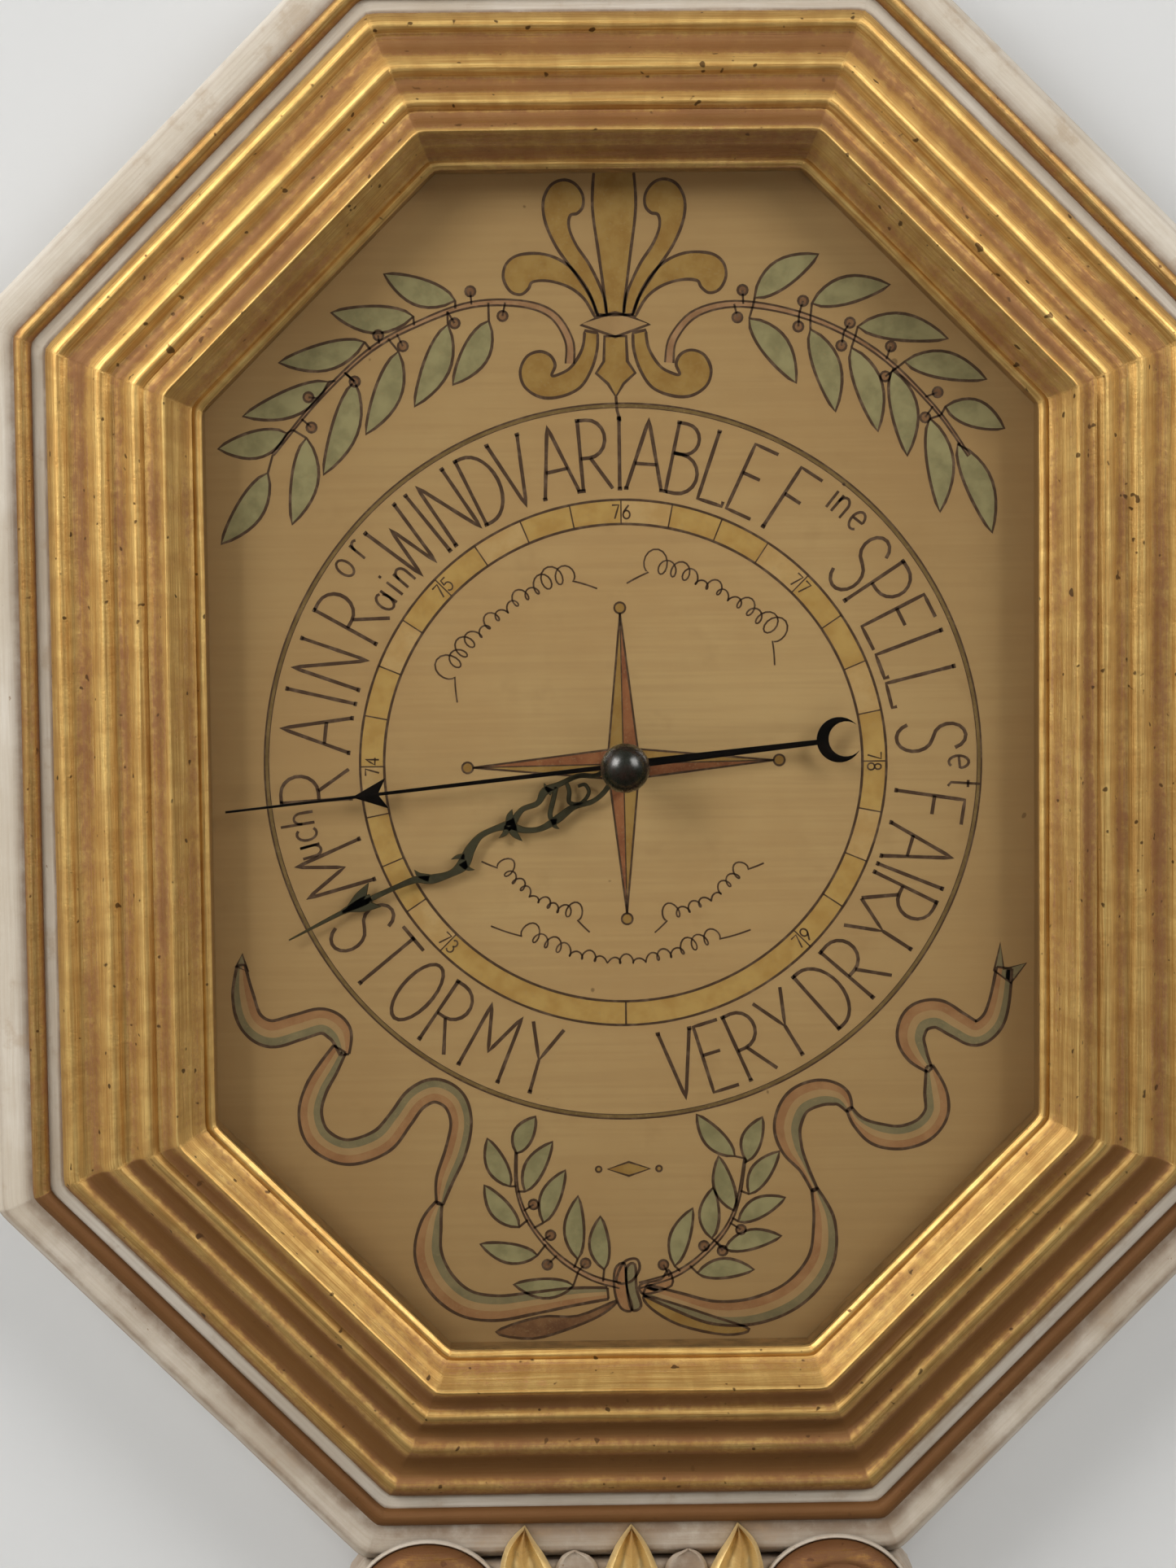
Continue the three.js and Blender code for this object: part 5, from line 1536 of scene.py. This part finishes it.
def paint(material, *names):
    """A material on CAD nodes whose own shape is right."""
    for name in names:
        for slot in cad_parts[name].material_slots:
            slot.material = material


make_pointer()
make_knob()
make_leaves()
make_volutes()
make_calyx()
make_drop()
soften("pendant_board", 1.4, CREAM, "cream", uneven=0.3, segments=3, dirt_and_shade=0.75)
soften("hanging_plate", 0.25, STEEL, "steel")
soften("back_cover", 0.8, PINE, "wood")
soften("set_hand", 0.18, BLACK_STEEL, "hand", "set_hand_group")
soften("knob_washer", 0.15, BRASS, "brass")
soften("glass_bush", 0.15, BRASS, "brass")
for screw in ("cover_screw_1", "cover_screw_2", "cover_screw_3", "cover_screw_4",
              "hanging_plate_screw_1", "hanging_plate_screw_2"):
    soften(screw, 0.2, STEEL, "steel")

paint(PAPER, "dial_plate")
paint(GLASS, "glass_pane")
paint(SPACER_WOOD, "glazing_spacer")
paint(PINE, "dial_board", "board_batten_top", "board_batten_bottom")
paint(BRASS, "movement_plate", "capsule_post", "shaft_bearing_left", "shaft_bearing_right",
      "arbor_bridge", "bridge_pillar_left", "bridge_pillar_right", "hand_collet")
paint(CAPSULE_METAL, "vacuum_capsule")
paint(STEEL, "movement_screw_1", "movement_screw_2", "movement_screw_3", "spring_bracket",
      "adjusting_screw", "main_spring", "lever_arm", "link_rod", "rocking_shaft", "chain",
      "hand_arbor", "hairspring", "set_arbor", "hanging_ring")

# ------------------------------------------------------------------ wall, floor, light and camera

PHOTO_LENS = 72.1
PHOTO_PLACE = (-22.5, -1000.9, 62.2)     # in millimetres
PHOTO_DOWN = math.radians(4.04)
PHOTO_RIGHT = math.radians(0.68)
PHOTO_ROLL = 0.0108


def stage_plane(name, corners, material):
    """A flat part of the room, in metres."""
    mesh = bpy.data.meshes.new(name)
    mesh.from_pydata(corners, [], [(0, 1, 2, 3)])
    mesh.materials.append(material)
    plane = bpy.data.objects.new(name, mesh)
    bpy.context.scene.collection.objects.link(plane)
    return plane


def plaster(name, color, one_way=False):
    """Matt pale paint. A one-way wall is clear from behind, so the back can be seen and lit."""
    n = Nodes(name)
    soft = n.noise(n.coords(), 2.5, 3, 0.5)
    tint = n.mix(n.band(soft, 0.3, 0.7, 0, 0.06), color, tuple(c - 16 for c in color))
    n.surface(Base_Color=tint, Roughness=0.95, Specular_IOR_Level=0.1)
    if one_way:
        paint = n.out.inputs[0].links[0].from_socket
        behind = n.new("ShaderNodeNewGeometry").outputs["Backfacing"]
        shadow = n.new("ShaderNodeLightPath").outputs["Is Shadow Ray"]
        clear = n.new("ShaderNodeBsdfTransparent")
        open_way = n.math("MAXIMUM", behind, shadow)
        both = n.new("ShaderNodeMixShader", {0: open_way, 1: paint, 2: clear.outputs[0]})
        n.tree.links.new(both.outputs[0], n.out.inputs[0])
    return n.material


def area_light(name, place, size, power, color=(1, 1, 1)):
    """A rectangular light, in metres, that faces the middle of the object."""
    data = bpy.data.lights.new(name, "AREA")
    data.shape = "RECTANGLE"
    data.size, data.size_y = size
    data.energy = power
    data.color = color
    lamp = bpy.data.objects.new(name, data)
    lamp.location = place
    lamp.rotation_euler = (-Vector(place)).to_track_quat("-Z", "Y").to_euler()
    lamp.visible_camera = False
    bpy.context.scene.collection.objects.link(lamp)


def make_stage():
    """The wall that the barometer hangs on and the floor below it."""
    wall_y = 0.001
    floor_z = -0.9
    stage_plane("wall", [(-1.6, wall_y, floor_z), (1.6, wall_y, floor_z), (1.6, wall_y, 1.3),
                         (-1.6, wall_y, 1.3)], plaster("wall_paint", (207, 209, 211), one_way=True))
    floor = stage_plane("floor", [(-4, -4, floor_z), (4, -4, floor_z), (4, 4, floor_z), (-4, 4, floor_z)],
                        plaster("floor_paint", (214, 211, 205)))
    floor.visible_glossy = False


def make_lights():
    """A window to each side, and a light for views from behind."""
    daylight = (1.0, 0.98, 0.95)
    area_light("left_window", (-1.7, -1.35, 1.2), (1.2, 1.4), 48, daylight)
    area_light("right_window", (1.6, -1.4, 1.2), (1.1, 1.4), 36, daylight)
    area_light("behind", (-0.5, 1.7, 0.9), (1.4, 1.0), 22)
    make_room_glow()
    bpy.context.scene.view_settings.view_transform = "Standard"


def make_room_glow():
    """Soft light from the room: brighter above and to the left, dim below."""
    world = bpy.data.worlds.new("room")
    world.use_nodes = True
    tree = world.node_tree
    glow = tree.nodes["Background"]
    glow.inputs["Color"].default_value = (1.0, 0.985, 0.96, 1)
    where = tree.nodes.new("ShaderNodeTexCoord").outputs["Generated"]
    parts = tree.nodes.new("ShaderNodeSeparateXYZ")
    tree.links.new(where, parts.inputs[0])
    both = tree.nodes.new("ShaderNodeMath")
    both.operation = "MULTIPLY"
    for factor, axis, spans in ((0, "Z", (-0.45, 0.35, 0.03, 0.20)), (1, "X", (-0.1, -0.9, 0.95, 2.6))):
        ramp = tree.nodes.new("ShaderNodeMapRange")
        for key, value in zip(("From Min", "From Max", "To Min", "To Max"), spans):
            ramp.inputs[key].default_value = value
        tree.links.new(parts.outputs[axis], ramp.inputs["Value"])
        tree.links.new(ramp.outputs[0], both.inputs[factor])
    tree.links.new(both.outputs[0], glow.inputs["Strength"])
    bpy.context.scene.world = world


def make_camera():
    """Stands where the photograph was taken: a metre out, looking slightly down."""
    data = bpy.data.cameras.new("camera")
    data.sensor_width = 36.0
    data.lens = PHOTO_LENS
    data.clip_start = 0.01
    camera = bpy.data.objects.new("camera", data)
    bpy.context.scene.collection.objects.link(camera)
    forward = Vector((math.cos(PHOTO_DOWN) * math.sin(PHOTO_RIGHT),
                      math.cos(PHOTO_DOWN) * math.cos(PHOTO_RIGHT), -math.sin(PHOTO_DOWN)))
    right = Vector((math.cos(PHOTO_RIGHT), -math.sin(PHOTO_RIGHT), 0))
    up = right.cross(forward)
    rolled_right = right * math.cos(PHOTO_ROLL) - up * math.sin(PHOTO_ROLL)
    rolled_up = right * math.sin(PHOTO_ROLL) + up * math.cos(PHOTO_ROLL)
    turn = Matrix((rolled_right, rolled_up, -forward)).transposed().to_4x4()
    camera.matrix_world = Matrix.Translation(Vector(PHOTO_PLACE) * MM) @ turn
    bpy.context.scene.camera = camera


make_stage()
make_lights()
make_camera()
